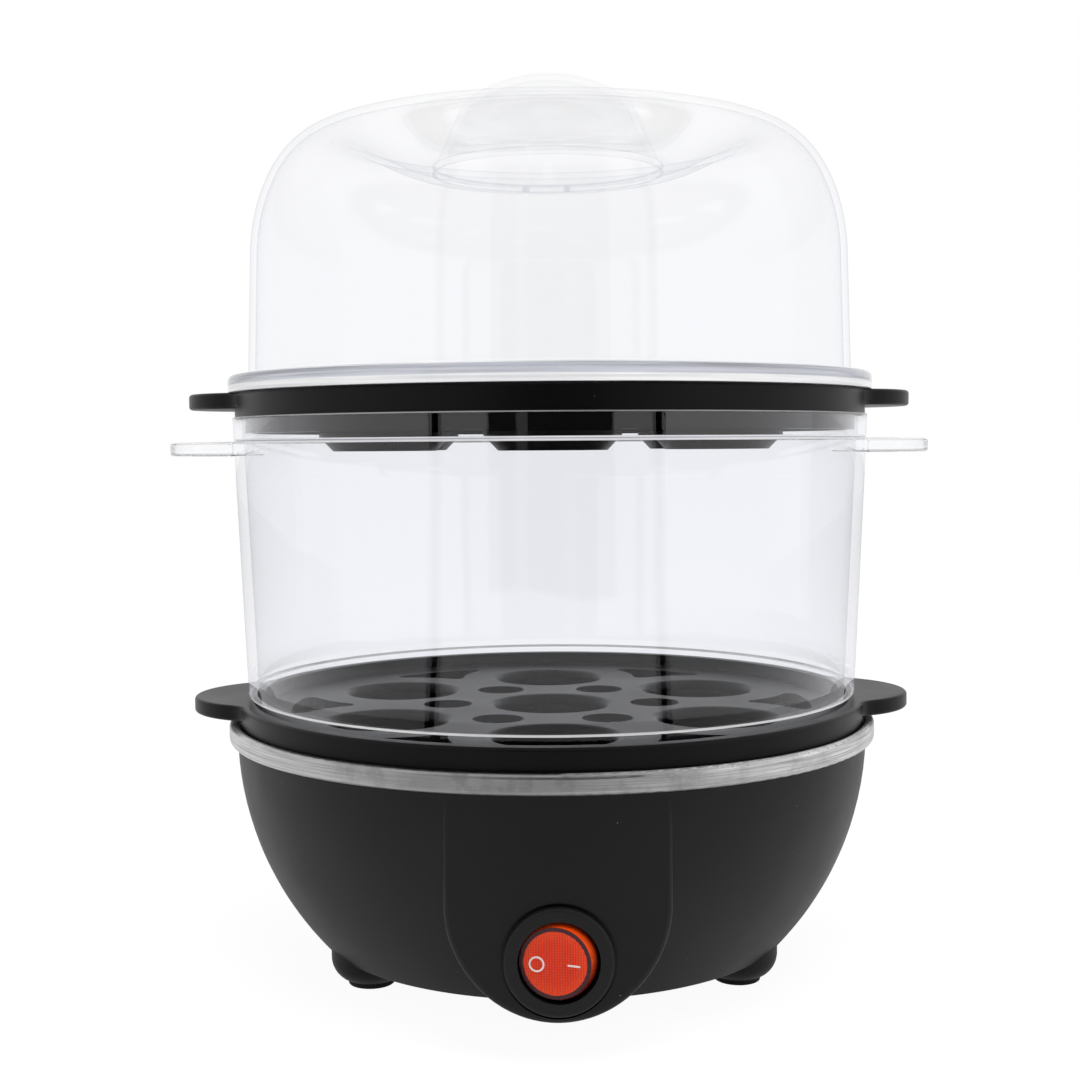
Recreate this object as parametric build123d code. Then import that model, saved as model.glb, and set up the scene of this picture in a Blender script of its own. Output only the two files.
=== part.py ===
from build123d import *
import os
from math import cos, pi, radians, sin, sqrt

# Two-tier electric egg steamer. Millimetres, +Z up, the front with the switch looks along -Y.
# Origin: on the table, on the axis of the bowl. Angles are counted from the front, turning towards +X.

# ---- Stack of parts, from the table up ----
FOOT_HEIGHT = 6.4          # underside of the bowl above the table
HOUSING_HEIGHT = 50.0      # bowl of the base, without its feet
BEAD_HEIGHT = 4.7          # visible height of the rolled steel rim
LEDGE_DROP = 1.0           # tray ledge below the top of the rolled rim
RING_HEIGHT = 72.2         # clear middle ring, foot to top

# ---- Clearances ----
NEST_GAP = 0.4             # round a tray's rim and skirt in the dish or the ring
LOCATE_GAP = 0.8           # round the locating skirts of ring and lid
SEAT_GAP = 0.3             # between curved pieces of one assembly
RUNNING_GAP = 0.06         # radial, pins in their bearings
PRESS_GAP = 0.05           # radial, screws and bushes in their holes

# ---- Egg trays (both alike) ----
TRAY_RADIUS = 77.4
TRAY_RIM_WIDTH = 3.4
TRAY_RIM_HEIGHT = 5.9
TRAY_PLATE_DROP = 3.2      # plate below the top of the rim
TRAY_PLATE = 2.0
TRAY_SKIRT_STEP = 2.3      # side of the rim to the side of the skirt
TRAY_SKIRT_WALL = 1.6
TRAY_SKIRT_DROP = 3.8
EGG_COUNT = 6              # egg holes round the middle one
EGG_RADIUS = 15.75
EGG_MARGIN = 12.95         # outer egg holes to the rim
CUP_WALL = 1.6
CUP_EDGE = 1.9             # rounded lip of a cup
CUP_STRAIGHT = 7.5         # plate top to the start of the cup's cone
CUP_DEPTH = 10.9
CUP_TAPER = 3.25           # radius lost in the cup's cone
STEAM_RADIUS = 6.2
WINDOW_PINCH = 1.3         # how far the lands round two neighbouring egg holes pass each other
WINDOW_MARGIN = 9.0        # that opening to the rim
WINDOW_CORNER = 2.0

# ---- Handles at both sides of trays and ring ----
EAR_CURVE = 22.0
EAR_ROOT_CURVE = 8.0
TRAY_EAR_REACH = 12.1      # beyond the tray's rim
TRAY_EAR_THICKNESS = 3.8
RING_EAR_REACH = 16.6      # beyond the ring's wall
RING_EAR_THICKNESS = 3.4
RING_EAR_DROP = 5.8        # top of the ring's ears below the ring's top
EAR_EDGE = 0.8

# ---- Clear ring ----
RING_TAPER = 2.8           # radius lost from the top to the step
RING_WALL = 2.4
RING_STEP_HEIGHT = 5.0     # locating skirt under the step
SKIRT_WALL = 2.0           # locating skirts of ring and lid
COLLAR_DEPTH = 5.5         # widened mouth that takes a tray's skirt
COLLAR_WALL = 2.3
COLLAR_EASE = 0.2          # mouth wider than its nest gap

# ---- Clear dome lid ----
LID_OVERHANG = 1.6         # flange beyond the tray's rim
LID_FLANGE_HEIGHT = 4.2
LID_WALL = 2.0
LID_WALL_STEP = 1.0        # locating skirt to the side of the wall
LID_DRAFT = 1.85           # degrees
LID_WALL_HEIGHT = 31.5     # flange underside to the start of the shoulder
LID_SHOULDER = 20.2        # foot of the wall to the crest
LID_CREST_HEIGHT = 63.4
LID_SUNK_WIDTH = 2.0       # flat floor round the knob
LID_SUNK_DROP = 7.8        # that floor below the crest
LID_SKIRT_DROP = 2.6
KNOB_BASE_RADIUS = 28.0
KNOB_TAPER = 7.0
KNOB_HEIGHT = 22.4         # above the sunk floor
KNOB_CROWN = 35.0
KNOB_EDGE = 3.0
STEAM_HOLE_RADIUS = 1.6
STEAM_HOLE_SPREAD = 11.0   # degrees either side of the rear

# ---- Stainless water dish ----
SHEET = 0.6
BEAD_REACH = 2.2           # rolled rim beyond the tray ledge
BEAD_CURVE = 0.85
DISH_DEPTH = 15.1          # tray ledge to the floor of the dish
DISH_SHOULDER_DROP = 5.7
DISH_SHOULDER_WIDTH = 3.7
DISH_FLOOR_INSET = 16.5    # wall of the dish to the edge of its floor
DISH_CURVE = 4.0
DISH_BEND = 1.2

# ---- Housing ----
HOUSING_TUCK = 2.0         # housing's top edge inside the rolled rim
HOUSING_WALL = 2.5
HOUSING_FLOOR = 3.2
HOUSING_SIDE_CURVE = 75.9
HOUSING_TAPER = 20.3       # radius lost from the top edge to the underside
HOUSING_LIP = 1.4          # thinned wall beside the dish
HOUSING_CORNER = 1.0
SEAL_LEDGE = 2.6           # thickness of the ledge under the seal
SEAL_THICKNESS = 1.2
SEAL_WIDTH = 3.0

# ---- Feet, pillars and the screws that pull the dish down ----
FOOT_INSET = 7.2           # edge of the underside to the middle of a foot
FOOT_NAMES = ["rear", "front_left", "front_right"]
FOOT_RADIUS = 9.5
FOOT_ROUND = 6.0
PAD_RADIUS = 5.5
PAD_PROUD = 0.8            # rubber below the foot
PAD_THICKNESS = 2.8
PILLAR_RADIUS = 5.4
DISH_SCREW_RADIUS = 1.95
DISH_SCREW_HEAD_RADIUS = 3.6
DISH_SCREW_HEAD = 2.4
DISH_SCREW_SHELF = 3.0
DISH_SCREW_GAP = 0.3
BUSH_RADIUS = 4.5
BUSH_HEIGHT = 6.0

# ---- Bottom cover ----
COVER_THICKNESS = 1.6
COVER_LEDGE = 6.7          # width of the seat round the opening
COVER_FIT = 0.3
COVER_SCREW_COUNT = 3
COVER_SCREW_INSET = 3.3
COVER_SCREW_RADIUS = 1.4
COVER_SCREW_HEAD_RADIUS = 2.7
COVER_SCREW_LENGTH = 8.0
COVER_BOSS_RADIUS = 3.4
COVER_BOSS_HEIGHT = 8.0
VENT_COUNT = 6
VENT_CIRCLE = 20.0
VENT_LENGTH = 14.0
VENT_WIDTH = 2.4

# ---- Switch pod and rocker switch ----
POD_HALF_WIDTH = 24.0
POD_RISE = 2.0             # pod's lowest point above the bowl's underside
POD_EDGE = 1.6
SWITCH_RISE = 15.4         # switch's axis above the bowl's underside
BEZEL_LAP = 1.6            # bezel beyond the barrel
BEZEL_THICKNESS = 2.5
BEZEL_SEAT_DEPTH = 1.0     # flat seat below the pod's face
BEZEL_GAP = 0.7            # round the bezel in its seat
BEZEL_ROUND = 0.8
PANEL_THICKNESS = 2.5
BARREL_WALL = 1.3
BARREL_DEPTH = 17.0
BARREL_BACK = 1.5
ROCKER_BALL = 8.4          # rocker's round sides, about its pivot
ROCKER_GAP = 0.2           # round the rocker in the barrel
ROCKER_FRONT = 3.8         # face ahead of the pivot
ROCKER_BACK = 3.2
ROCKER_WALL = 1.6
ROCKER_POCKET = 6.0
ROCKER_REST_TURN = -12.0   # degrees about +Z, the O side pressed in
PIVOT_RADIUS = 1.2
PIVOT_ROOT = 1.0           # pins sunk in the rocker's side wall
STEM_RADIUS = 2.4
STEM_BORE = 1.5
STEM_END = 4.6
PLUNGER_END = 8.3
PLUNGER_RADIUS = 0.9
SPRING_TURNS = 4
SPRING_WIRE = 0.2
LEVER_REST_TURN = 6.0      # degrees
LEVER_GAP = 0.5            # plunger's reach to the lever's front
LEVER_WIDTH = 4.0
LEVER_THICKNESS = 0.6
TAB_WIDTH = 6.3
TAB_THICKNESS = 0.8
TAB_SPACING = 5.2
TAB_LENGTH = 8.0           # tabs behind the barrel
LAMP_RADIUS = 1.1
LAMP_LENGTH = 4.8
LAMP_OFFSET = 4.0
MARK_THICKNESS = 0.12
MARK_RADIUS = 2.0
MARK_LINE = 0.45
MARK_BAR = 3.2
MARK_OFFSET = 3.9

# ---- Heater ----
SPREADER_GAP = 4.0         # spreader to the bushes round it
SPREADER_THICKNESS = 4.0
ELEMENT_INSET = 9.0        # edge of the spreader to the tube's middle
ELEMENT_RADIUS = 3.2
ELEMENT_SPAN = 290.0       # degrees of the open ring, its gap at the rear
ELEMENT_BEND = 7.0
ELEMENT_TAIL = 2.0
BEAD_RADIUS = 2.8
BEAD_LENGTH = 3.0
ELEMENT_TAB_LENGTH = 8.0

# ---- Thermostat, its bracket, the fuse ----
THERMOSTAT_RADIUS = 8.5
THERMOSTAT_GAP = 2.5       # round the thermostat in the spreader's hole
THERMOSTAT_CUP = 4.2
THERMOSTAT_BASE = 6.0
THERMOSTAT_TAB_LENGTH = 6.5
BRACKET_WIDTH = 10.0
BRACKET_SHEET = 0.8
BRACKET_GAP = 4.3          # heater's tube to the ends of the bracket
BRACKET_END = 5.0          # screws to the ends of the bracket
BRACKET_CURVE = 1.0
SMALL_SCREW_RADIUS = 1.45
SMALL_SCREW_HEAD_RADIUS = 2.8
SMALL_SCREW_HEAD = 1.8
SMALL_SCREW_GRIP = 3.0     # depth in the spreader
TAG_RADIUS = 3.6
TAG_BLADE_WIDTH = 4.7
FUSE_RADIUS = 2.0
FUSE_LENGTH = 14.0
FUSE_INSET = 7.0           # edge of the spreader's hole to the fuse
CLIP_WIDTH = 5.0
CLIP_SHEET = 0.6

# ---- Terminal block and cord gland ----
BLOCK_ANGLE = 150.0        # degrees
BLOCK_INSET = 6.0          # circle of the feet to the block's middle
BLOCK_LENGTH = 24.0
BLOCK_DEPTH = 10.0
BLOCK_HEIGHT = 12.0
BLOCK_CORNER = 1.0
BLOCK_WAYS = 3
BLOCK_PITCH = 8.0
BLOCK_BORE = 1.9
GLAND_RISE = 17.6          # gland's axis above the bowl's underside
GLAND_BOSS_PROUD = 3.07    # boss's flat face beyond the bowl's side
GLAND_BOSS_RADIUS = 9.5
GLAND_PANEL = 3.5
GLAND_GAP = 0.5            # round the gland's flange in its pocket
GLAND_NECK = 5.2
GLAND_FLANGE = 7.0
GLAND_FLANGE_THICKNESS = 2.0
CORD_RADIUS = 3.3

# ---- Leads ----
LEAD_RADIUS = 1.3
LEAD_STUB = 5.0            # straight run out of a terminal
LEAD_IN_BLOCK = 3.0        # wire end inside the terminal block
LEAD_ENTRY = 7.0           # last straight run before the block
LEAD_BEND_SHARE = 0.45     # of the shorter run beside a bend, given to the bend
# Free points of the leads between their ends, their heights above the wiring space's floor.
LIVE_ROUTE = [(8, -38, 12), (15, -25, 11.4), (20, -10, 10.4), (20, 5, 8.4), (18.5, 15, 6.6)]
NEUTRAL_ROUTE = [(-9, 20.5, 12.4), (0, 19.5, 11.4), (9, 22.5, 9.4)]
EARTH_ROUTE = [(-14, 5, 8.4), (-4, 16, 6.4), (4, 24, 6)]
# Those nearer the heater, their heights counted from the spreader's underside.
SWITCHED_ROUTE = [(-5.2, -39, -17.4), (-3.5, -30, -11.4), (-1, -24, -4.9)]
FUSE_ROUTE = [(-13, 14, -2.7)]
HEATER_ROUTE = [(15, 19, -8.4), (14.2, 21.5, -14.4)]
EARTH_DROP = [(-20.5, -15, -10.4), (-19, -8, -18.4)]

# ---- Angles, and the slack allowed when an edge is found by its place ----
QUARTER_TURN = 90
TOLERANCE = 0.01

# ---- Heights that follow from the above ----
housing_bottom = FOOT_HEIGHT
housing_top = housing_bottom + HOUSING_HEIGHT
bead_top = housing_top + BEAD_HEIGHT
ledge_z = bead_top - LEDGE_DROP
lower_tray_z = ledge_z
tray_plate_rise = TRAY_RIM_HEIGHT - TRAY_PLATE_DROP
ring_z = lower_tray_z + tray_plate_rise
ring_top = ring_z + RING_HEIGHT
upper_tray_z = ring_top
lid_z = upper_tray_z + TRAY_RIM_HEIGHT
dish_floor = ledge_z - DISH_DEPTH
dish_under = dish_floor - SHEET
shoulder_under = ledge_z - DISH_SHOULDER_DROP - SHEET
seal_z = shoulder_under - SEAL_THICKNESS
cavity_floor = housing_bottom + HOUSING_FLOOR
pillar_top = dish_under - BUSH_HEIGHT
spreader_under = dish_under - SPREADER_THICKNESS
switch_z = housing_bottom + SWITCH_RISE
gland_z = housing_bottom + GLAND_RISE

# ---- Radii of the egg trays and of what they nest in ----
rim_inner = TRAY_RADIUS - TRAY_RIM_WIDTH
tray_skirt_radius = TRAY_RADIUS - TRAY_SKIRT_STEP
egg_circle = rim_inner - EGG_MARGIN - EGG_RADIUS
egg_half_step = 180 / EGG_COUNT
steam_circle = egg_circle / (2 * cos(radians(egg_half_step)))
window_outer = rim_inner - WINDOW_MARGIN
locate_radius = rim_inner - LOCATE_GAP
skirt_inner = locate_radius - SKIRT_WALL
collar_radius = tray_skirt_radius + NEST_GAP + COLLAR_EASE
ring_top_radius = collar_radius + COLLAR_WALL
ring_step_radius = ring_top_radius - RING_TAPER
lid_wall_radius = locate_radius + LID_WALL_STEP
lid_crest_radius = lid_wall_radius - LID_SHOULDER
lid_sunk_radius = KNOB_BASE_RADIUS + LID_SUNK_WIDTH

# ---- Radii of the dish, the housing and what stands in it ----
ledge_radius = TRAY_RADIUS + NEST_GAP
bead_radius = ledge_radius + BEAD_REACH
dish_wall_radius = tray_skirt_radius + NEST_GAP
housing_radius = bead_radius - HOUSING_TUCK
housing_bottom_radius = housing_radius - HOUSING_TAPER
foot_circle = housing_bottom_radius - FOOT_INSET
foot_angles = {name: 180 + k * 360 / len(FOOT_NAMES) for k, name in enumerate(FOOT_NAMES)}
cover_radius = foot_circle - FOOT_RADIUS - COVER_FIT
cover_opening = cover_radius - COVER_LEDGE
cover_screw_circle = cover_radius - COVER_SCREW_INSET
cover_screw_angles = [k * 360 / COVER_SCREW_COUNT for k in range(COVER_SCREW_COUNT)]
spreader_radius = foot_circle - BUSH_RADIUS - SPREADER_GAP
spreader_hole = THERMOSTAT_RADIUS + THERMOSTAT_GAP
element_circle = spreader_radius - ELEMENT_INSET
bracket_screw_x = element_circle - ELEMENT_RADIUS - BRACKET_GAP - BRACKET_END
fuse_y = spreader_hole + FUSE_INSET
block_circle = foot_circle - BLOCK_INSET

# ---- Switch, from its front to its back ----
rocker_opening = ROCKER_BALL + ROCKER_GAP
barrel_radius = rocker_opening + BARREL_WALL
bezel_radius = barrel_radius + BEZEL_LAP
bezel_recess = bezel_radius + BEZEL_GAP
bezel_seat = -(housing_radius - BEZEL_SEAT_DEPTH)
bezel_front = bezel_seat - BEZEL_THICKNESS
pivot_y = bezel_front + ROCKER_FRONT
barrel_end = bezel_seat + BARREL_DEPTH
lever_pivot_y = pivot_y + PLUNGER_END + LEVER_GAP + LEVER_THICKNESS
lever_length = 2 * (TAB_SPACING + TAB_THICKNESS)


def place(radius, angle, height=0.0):
    """Point at a radius and an angle from the front."""
    return Vector(radius * sin(radians(angle)), -radius * cos(radians(angle)), height)


def turned(*lines):
    """Solid of revolution about the Z axis from lines drawn as (radius, height)."""
    return revolve(Plane.XZ * make_face(Curve() + list(lines)), Axis.Z)


def turned_outline(points):
    """Solid of revolution about the Z axis from corner points (radius, height)."""
    return turned(Polyline(*points, close=True))


def rod(radius, start, end, x=0.0, y=0.0):
    """Upright cylinder between two heights."""
    return Pos(x, y, start) * extrude(Circle(radius), end - start)


def rod_y(radius, start, end, x=0.0, z=0.0):
    """Cylinder along Y between two depths."""
    return Pos(x, start, z) * Rot(-90, 0, 0) * extrude(Circle(radius), end - start)


def block(size, centre):
    """Box by its size and centre."""
    return Pos(*centre) * Box(*size)


def arc_centre(start, end, radius):
    """Centre of the arc through two points, on the side of the axis and above."""
    middle_x = (start[0] + end[0]) / 2
    middle_z = (start[1] + end[1]) / 2
    across = (end[0] - start[0], end[1] - start[1])
    chord = sqrt(across[0] ** 2 + across[1] ** 2)
    away = sqrt(radius ** 2 - (chord / 2) ** 2)
    return middle_x - away * across[1] / chord, middle_z + away * across[0] / chord


bowl_centre = arc_centre((housing_bottom_radius, housing_bottom), (housing_radius, housing_top),
                         HOUSING_SIDE_CURVE)


def bowl_radius(height, inset=0.0):
    """Radius of the bowl's side at a height, for the surface inset from the outer one."""
    return bowl_centre[0] + sqrt((HOUSING_SIDE_CURVE - inset) ** 2 - (height - bowl_centre[1]) ** 2)


gland_face = bowl_radius(gland_z) + GLAND_BOSS_PROUD


def bowl_solid(inset, bottom, top):
    """Full bowl, its side one arc, between two heights."""
    middle = (bottom + top) / 2
    low = (bowl_radius(bottom, inset), bottom)
    high = (bowl_radius(top, inset), top)
    side = ThreePointArc(low, (bowl_radius(middle, inset), middle), high)
    return turned(Polyline(high, (0, top), (0, bottom), low), side)


def pod_solid(inset):
    """U-shaped pod at the front, its face a cylinder in line with the housing's top edge."""
    centre_z = housing_bottom + POD_RISE + POD_HALF_WIDTH
    half = POD_HALF_WIDTH - inset
    top = housing_top
    outline = Pos(0, centre_z) * Circle(half)
    outline += Pos(0, (centre_z + top) / 2) * Rectangle(2 * half, top - centre_z)
    prism = extrude(Plane.XZ * outline, bead_radius)
    return prism & rod(housing_radius - inset, 0, top)


def base_housing():
    outer = bowl_solid(0, housing_bottom, housing_top)
    outer = fillet(outer.edges().sort_by(Axis.Z)[0], HOUSING_CORNER)
    outer += pod_solid(0)
    pod_rim = [e for e in outer.edges() if pod_rim_edge(e)]
    outer = fillet(pod_rim, POD_EDGE)
    for angle in foot_angles.values():
        spot = place(foot_circle, angle)
        foot = rod(FOOT_RADIUS, PAD_PROUD, cavity_floor, spot.X, spot.Y)
        outer += fillet(foot.edges().sort_by(Axis.Z)[0], FOOT_ROUND)
    outer += rod_y(GLAND_BOSS_RADIUS, gland_face - 2 * GLAND_BOSS_RADIUS, gland_face, z=gland_z)

    cavity = bowl_solid(HOUSING_WALL, cavity_floor, housing_top)
    cavity += pod_solid(HOUSING_WALL)
    cavity += rod(housing_radius - HOUSING_LIP, seal_z, housing_top)
    shell = outer - cavity

    ledge_outer = housing_radius - HOUSING_LIP
    ledge_inner = dish_wall_radius + SHEET - DISH_SHOULDER_WIDTH
    inner = rod(ledge_outer, seal_z - SEAL_LEDGE, seal_z) - rod(ledge_inner, seal_z - SEAL_LEDGE, seal_z)
    for angle in foot_angles.values():
        spot = place(foot_circle, angle)
        inner += rod(PILLAR_RADIUS, cavity_floor, pillar_top, spot.X, spot.Y)
    for angle in cover_screw_angles:
        spot = place(cover_screw_circle, angle)
        boss_top = cavity_floor + COVER_BOSS_HEIGHT
        inner += rod(COVER_BOSS_RADIUS, housing_bottom + COVER_THICKNESS, boss_top, spot.X, spot.Y)
    pad_back = bezel_seat + PANEL_THICKNESS
    inner += rod_y(bezel_recess, bezel_seat, pad_back, z=switch_z) & pod_solid(0)
    shell += inner

    shell -= rod(cover_opening, 0, cavity_floor) - cover_bosses_keep()
    shell -= rod(cover_radius + COVER_FIT, 0, housing_bottom + COVER_THICKNESS)
    for angle in cover_screw_angles:
        spot = place(cover_screw_circle, angle)
        shell -= rod(COVER_SCREW_RADIUS + PRESS_GAP, 0, housing_bottom + COVER_THICKNESS
                     + COVER_SCREW_LENGTH, spot.X, spot.Y)
    for angle in foot_angles.values():
        spot = place(foot_circle, angle)
        shell -= rod(PAD_RADIUS + PRESS_GAP, 0, PAD_THICKNESS, spot.X, spot.Y)
        shell -= rod(DISH_SCREW_HEAD_RADIUS + DISH_SCREW_GAP, 0, pillar_top - DISH_SCREW_SHELF,
                     spot.X, spot.Y)
        shell -= rod(DISH_SCREW_RADIUS + DISH_SCREW_GAP, 0, pillar_top, spot.X, spot.Y)
    shell -= rod_y(bezel_recess, bezel_front - BEZEL_THICKNESS, bezel_seat, z=switch_z)
    shell -= rod_y(barrel_radius + PRESS_GAP, bezel_seat, pad_back, z=switch_z)
    pocket = GLAND_FLANGE + GLAND_GAP
    pocket_end = gland_face - GLAND_PANEL
    shell -= rod_y(pocket, pocket_end - 2 * pocket, pocket_end, z=gland_z)
    shell -= rod_y(GLAND_NECK, pocket_end, gland_face, z=gland_z)
    return shell


def pod_rim_edge(edge):
    """True for an edge of the pod's front outline that stands clear of the bowl."""
    middle = edge @ 0.5
    if middle.Y > 0 or abs(middle.X) > POD_HALF_WIDTH + TOLERANCE:
        return False
    on_face = abs(sqrt(middle.X ** 2 + middle.Y ** 2) - housing_radius) < TOLERANCE
    return on_face and middle.Z < housing_top - HOUSING_LIP and edge.length > bezel_radius


def cover_bosses_keep():
    """Material of the screw bosses that stays inside the cover's opening."""
    keep = None
    for angle in cover_screw_angles:
        spot = place(cover_screw_circle, angle)
        boss = rod(COVER_BOSS_RADIUS, 0, cavity_floor, spot.X, spot.Y)
        keep = boss if keep is None else keep + boss
    return keep


def bottom_cover():
    top = housing_bottom + COVER_THICKNESS
    cover = rod(cover_radius, housing_bottom, top)
    cover = fillet(cover.edges().sort_by(Axis.Z)[0], COVER_THICKNESS / 3)
    for angle in cover_screw_angles:
        spot = place(cover_screw_circle, angle)
        cover -= Pos(spot.X, spot.Y, 0) * screw_space(PRESS_GAP)
    vent = Rectangle(VENT_LENGTH - VENT_WIDTH, VENT_WIDTH)
    for end in (-1, 1):
        vent += Pos(end * (VENT_LENGTH - VENT_WIDTH) / 2, 0) * Circle(VENT_WIDTH / 2)
    for k in range(VENT_COUNT):
        slot = extrude(vent, COVER_THICKNESS)
        cover -= Rot(0, 0, k * 360 / VENT_COUNT) * Pos(0, VENT_CIRCLE, housing_bottom) * slot
    return cover


def screw_space(gap):
    """Countersunk cover screw, standing on the cover's underside, grown by a gap."""
    cone = COVER_SCREW_HEAD_RADIUS - COVER_SCREW_RADIUS
    z = housing_bottom
    points = [(0, z), (COVER_SCREW_HEAD_RADIUS + gap, z), (COVER_SCREW_RADIUS + gap, z + cone),
              (COVER_SCREW_RADIUS + gap, z + COVER_THICKNESS), (0, z + COVER_THICKNESS)]
    return turned_outline(points)


def cover_screws():
    top = housing_bottom + COVER_THICKNESS + COVER_SCREW_LENGTH
    screw = screw_space(0) + rod(COVER_SCREW_RADIUS, housing_bottom + COVER_THICKNESS, top)
    slot_depth = COVER_THICKNESS / 2
    for turn in (0, QUARTER_TURN):
        slot = block((2 * COVER_SCREW_RADIUS, SHEET, slot_depth), (0, 0, housing_bottom + slot_depth / 2))
        screw -= Rot(0, 0, turn) * slot
    spots = [place(cover_screw_circle, angle) for angle in cover_screw_angles]
    return Compound(children=[Pos(s.X, s.Y, 0) * screw for s in spots])


def foot_pad(angle):
    spot = place(foot_circle, angle)
    pad = rod(PAD_RADIUS, 0, PAD_THICKNESS, spot.X, spot.Y)
    return fillet(pad.edges().sort_by(Axis.Z)[0], PAD_PROUD / 2)


def water_dish():
    """Sheet of one thickness along its middle line, from the floor to the inner end of the rolled rim."""
    half = SHEET / 2
    floor = dish_floor - half
    shoulder = ledge_z - DISH_SHOULDER_DROP - half
    wall = dish_wall_radius + half
    rise = ledge_radius + half
    bead = bead_radius - half
    points = [(0, floor), (dish_wall_radius - DISH_FLOOR_INSET, floor),
              (wall - DISH_SHOULDER_WIDTH, shoulder), (wall, shoulder),
              (wall, ledge_z - half), (rise, ledge_z - half), (rise, bead_top - half),
              (bead, bead_top - half), (bead, housing_top + half),
              (wall + HOUSING_TUCK, housing_top + half)]
    curves = [DISH_CURVE, DISH_CURVE / 2, DISH_BEND / 2, DISH_BEND / 3, DISH_BEND / 3, DISH_BEND / 3,
              BEAD_CURVE, BEAD_CURVE]
    line = FilletPolyline(*points, radius=curves)
    return revolve(Plane.XZ * trace(line, SHEET), Axis.Z)


def dish_seal():
    outer = housing_radius - HOUSING_LIP - SEAT_GAP
    inner = outer - SEAL_WIDTH
    top = seal_z + SEAL_THICKNESS
    return rod(outer, seal_z, top) - rod(inner, seal_z, top)


def dish_bushes():
    spots = [place(foot_circle, angle) for angle in foot_angles.values()]
    bush = rod(BUSH_RADIUS, pillar_top, dish_under)
    bush -= rod(DISH_SCREW_RADIUS + PRESS_GAP, pillar_top, dish_under)
    return Compound(children=[Pos(s.X, s.Y, 0) * bush for s in spots])


def dish_screws():
    spots = [place(foot_circle, angle) for angle in foot_angles.values()]
    head_top = pillar_top - DISH_SCREW_SHELF
    head = rod(DISH_SCREW_HEAD_RADIUS, head_top - DISH_SCREW_HEAD, head_top)
    head = fillet(head.edges().sort_by(Axis.Z)[0], DISH_SCREW_HEAD / 4)
    for turn in (0, QUARTER_TURN):
        slot = block((DISH_SCREW_HEAD_RADIUS, SHEET, DISH_SCREW_HEAD), (0, 0, head_top - DISH_SCREW_HEAD))
        head -= Rot(0, 0, turn) * slot
    screw = head + rod(DISH_SCREW_RADIUS, head_top, dish_under - PAD_PROUD)
    return Compound(children=[Pos(s.X, s.Y, 0) * screw for s in spots])


def egg_spots():
    """Centres of the seven egg holes."""
    spots = [Vector(0, 0, 0)]
    for k in range(EGG_COUNT):
        spots.append(place(egg_circle, k * 360 / EGG_COUNT))
    return spots


def cup_outer():
    """Outside of one egg cup, the top of the plate at zero height."""
    under = -TRAY_PLATE
    side = EGG_RADIUS - CUP_EDGE + CUP_WALL
    return turned_outline([(0, under), (side, under), (side, -CUP_STRAIGHT),
                           (side - CUP_TAPER, -CUP_DEPTH), (0, -CUP_DEPTH)])


def cup_inner():
    """Space of one egg cup with its rounded lip."""
    side = EGG_RADIUS - CUP_EDGE
    slant = CUP_EDGE * sin(pi / 4)
    lip = ThreePointArc((EGG_RADIUS, 0), (EGG_RADIUS - slant, slant - CUP_EDGE), (side, -CUP_EDGE))
    rest = Polyline((side, -CUP_EDGE), (side, -CUP_STRAIGHT), (side - CUP_TAPER, -CUP_DEPTH),
                    (0, -CUP_DEPTH), (0, 0), (EGG_RADIUS, 0))
    return turned(lip, rest)


def window_face(angle):
    """Curved three-cornered opening between two neighbouring egg cups and the rim."""
    cup_x = egg_circle * cos(radians(egg_half_step))
    cup_y = egg_circle * sin(radians(egg_half_step))
    keep_out = cup_y + WINDOW_PINCH
    apex = cup_x + sqrt(keep_out ** 2 - cup_y ** 2)
    beyond_apex = Pos(apex + window_outer / 2 - WINDOW_CORNER, 0) * Rectangle(window_outer, window_outer)
    opening = Circle(window_outer) & beyond_apex
    for side in (-1, 1):
        opening -= Pos(cup_x, side * cup_y) * Circle(keep_out)
    opening = fillet(opening.vertices(), WINDOW_CORNER)
    return Rot(0, 0, angle - QUARTER_TURN) * opening


def ear_plate(radius, reach, thickness, top):
    """Round plate with an ear at each side, its ears' roots rounded."""
    plate = Circle(radius)
    for side in (-1, 1):
        plate += Pos(side * (radius + reach - EAR_CURVE), 0) * Circle(EAR_CURVE)
    plate = fillet(plate.vertices(), EAR_ROOT_CURVE)
    solid = Pos(0, 0, top - thickness) * extrude(plate, thickness)
    outline = [e for e in solid.edges() if abs(e.tangent_at(0.5).Z) < TOLERANCE]
    return fillet(outline, EAR_EDGE)


def egg_tray(z):
    """Egg tray whose rim rests at height z."""
    plate_top = z + tray_plate_rise
    rim_top = z + TRAY_RIM_HEIGHT
    tray = ear_plate(TRAY_RADIUS, TRAY_EAR_REACH, TRAY_EAR_THICKNESS, rim_top)
    tray += rod(TRAY_RADIUS, z, rim_top - TRAY_EAR_THICKNESS + EAR_EDGE)
    tray -= rod(rim_inner, plate_top, rim_top)
    tray -= rod(rim_inner, z, plate_top - TRAY_PLATE)
    skirt_bottom = z - TRAY_SKIRT_DROP
    skirt = rod(tray_skirt_radius, skirt_bottom, plate_top - TRAY_PLATE)
    tray += skirt - rod(tray_skirt_radius - TRAY_SKIRT_WALL, skirt_bottom, plate_top - TRAY_PLATE)
    for spot in egg_spots():
        tray += Pos(spot.X, spot.Y, plate_top) * cup_outer()
    for spot in egg_spots():
        tray -= Pos(spot.X, spot.Y, plate_top) * cup_inner()
    for k in range(EGG_COUNT):
        angle = k * 360 / EGG_COUNT + egg_half_step
        spot = place(steam_circle, angle)
        tray -= rod(STEAM_RADIUS, z, plate_top, spot.X, spot.Y)
        tray -= Pos(0, 0, z) * extrude(window_face(angle), tray_plate_rise)
    return tray


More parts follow.
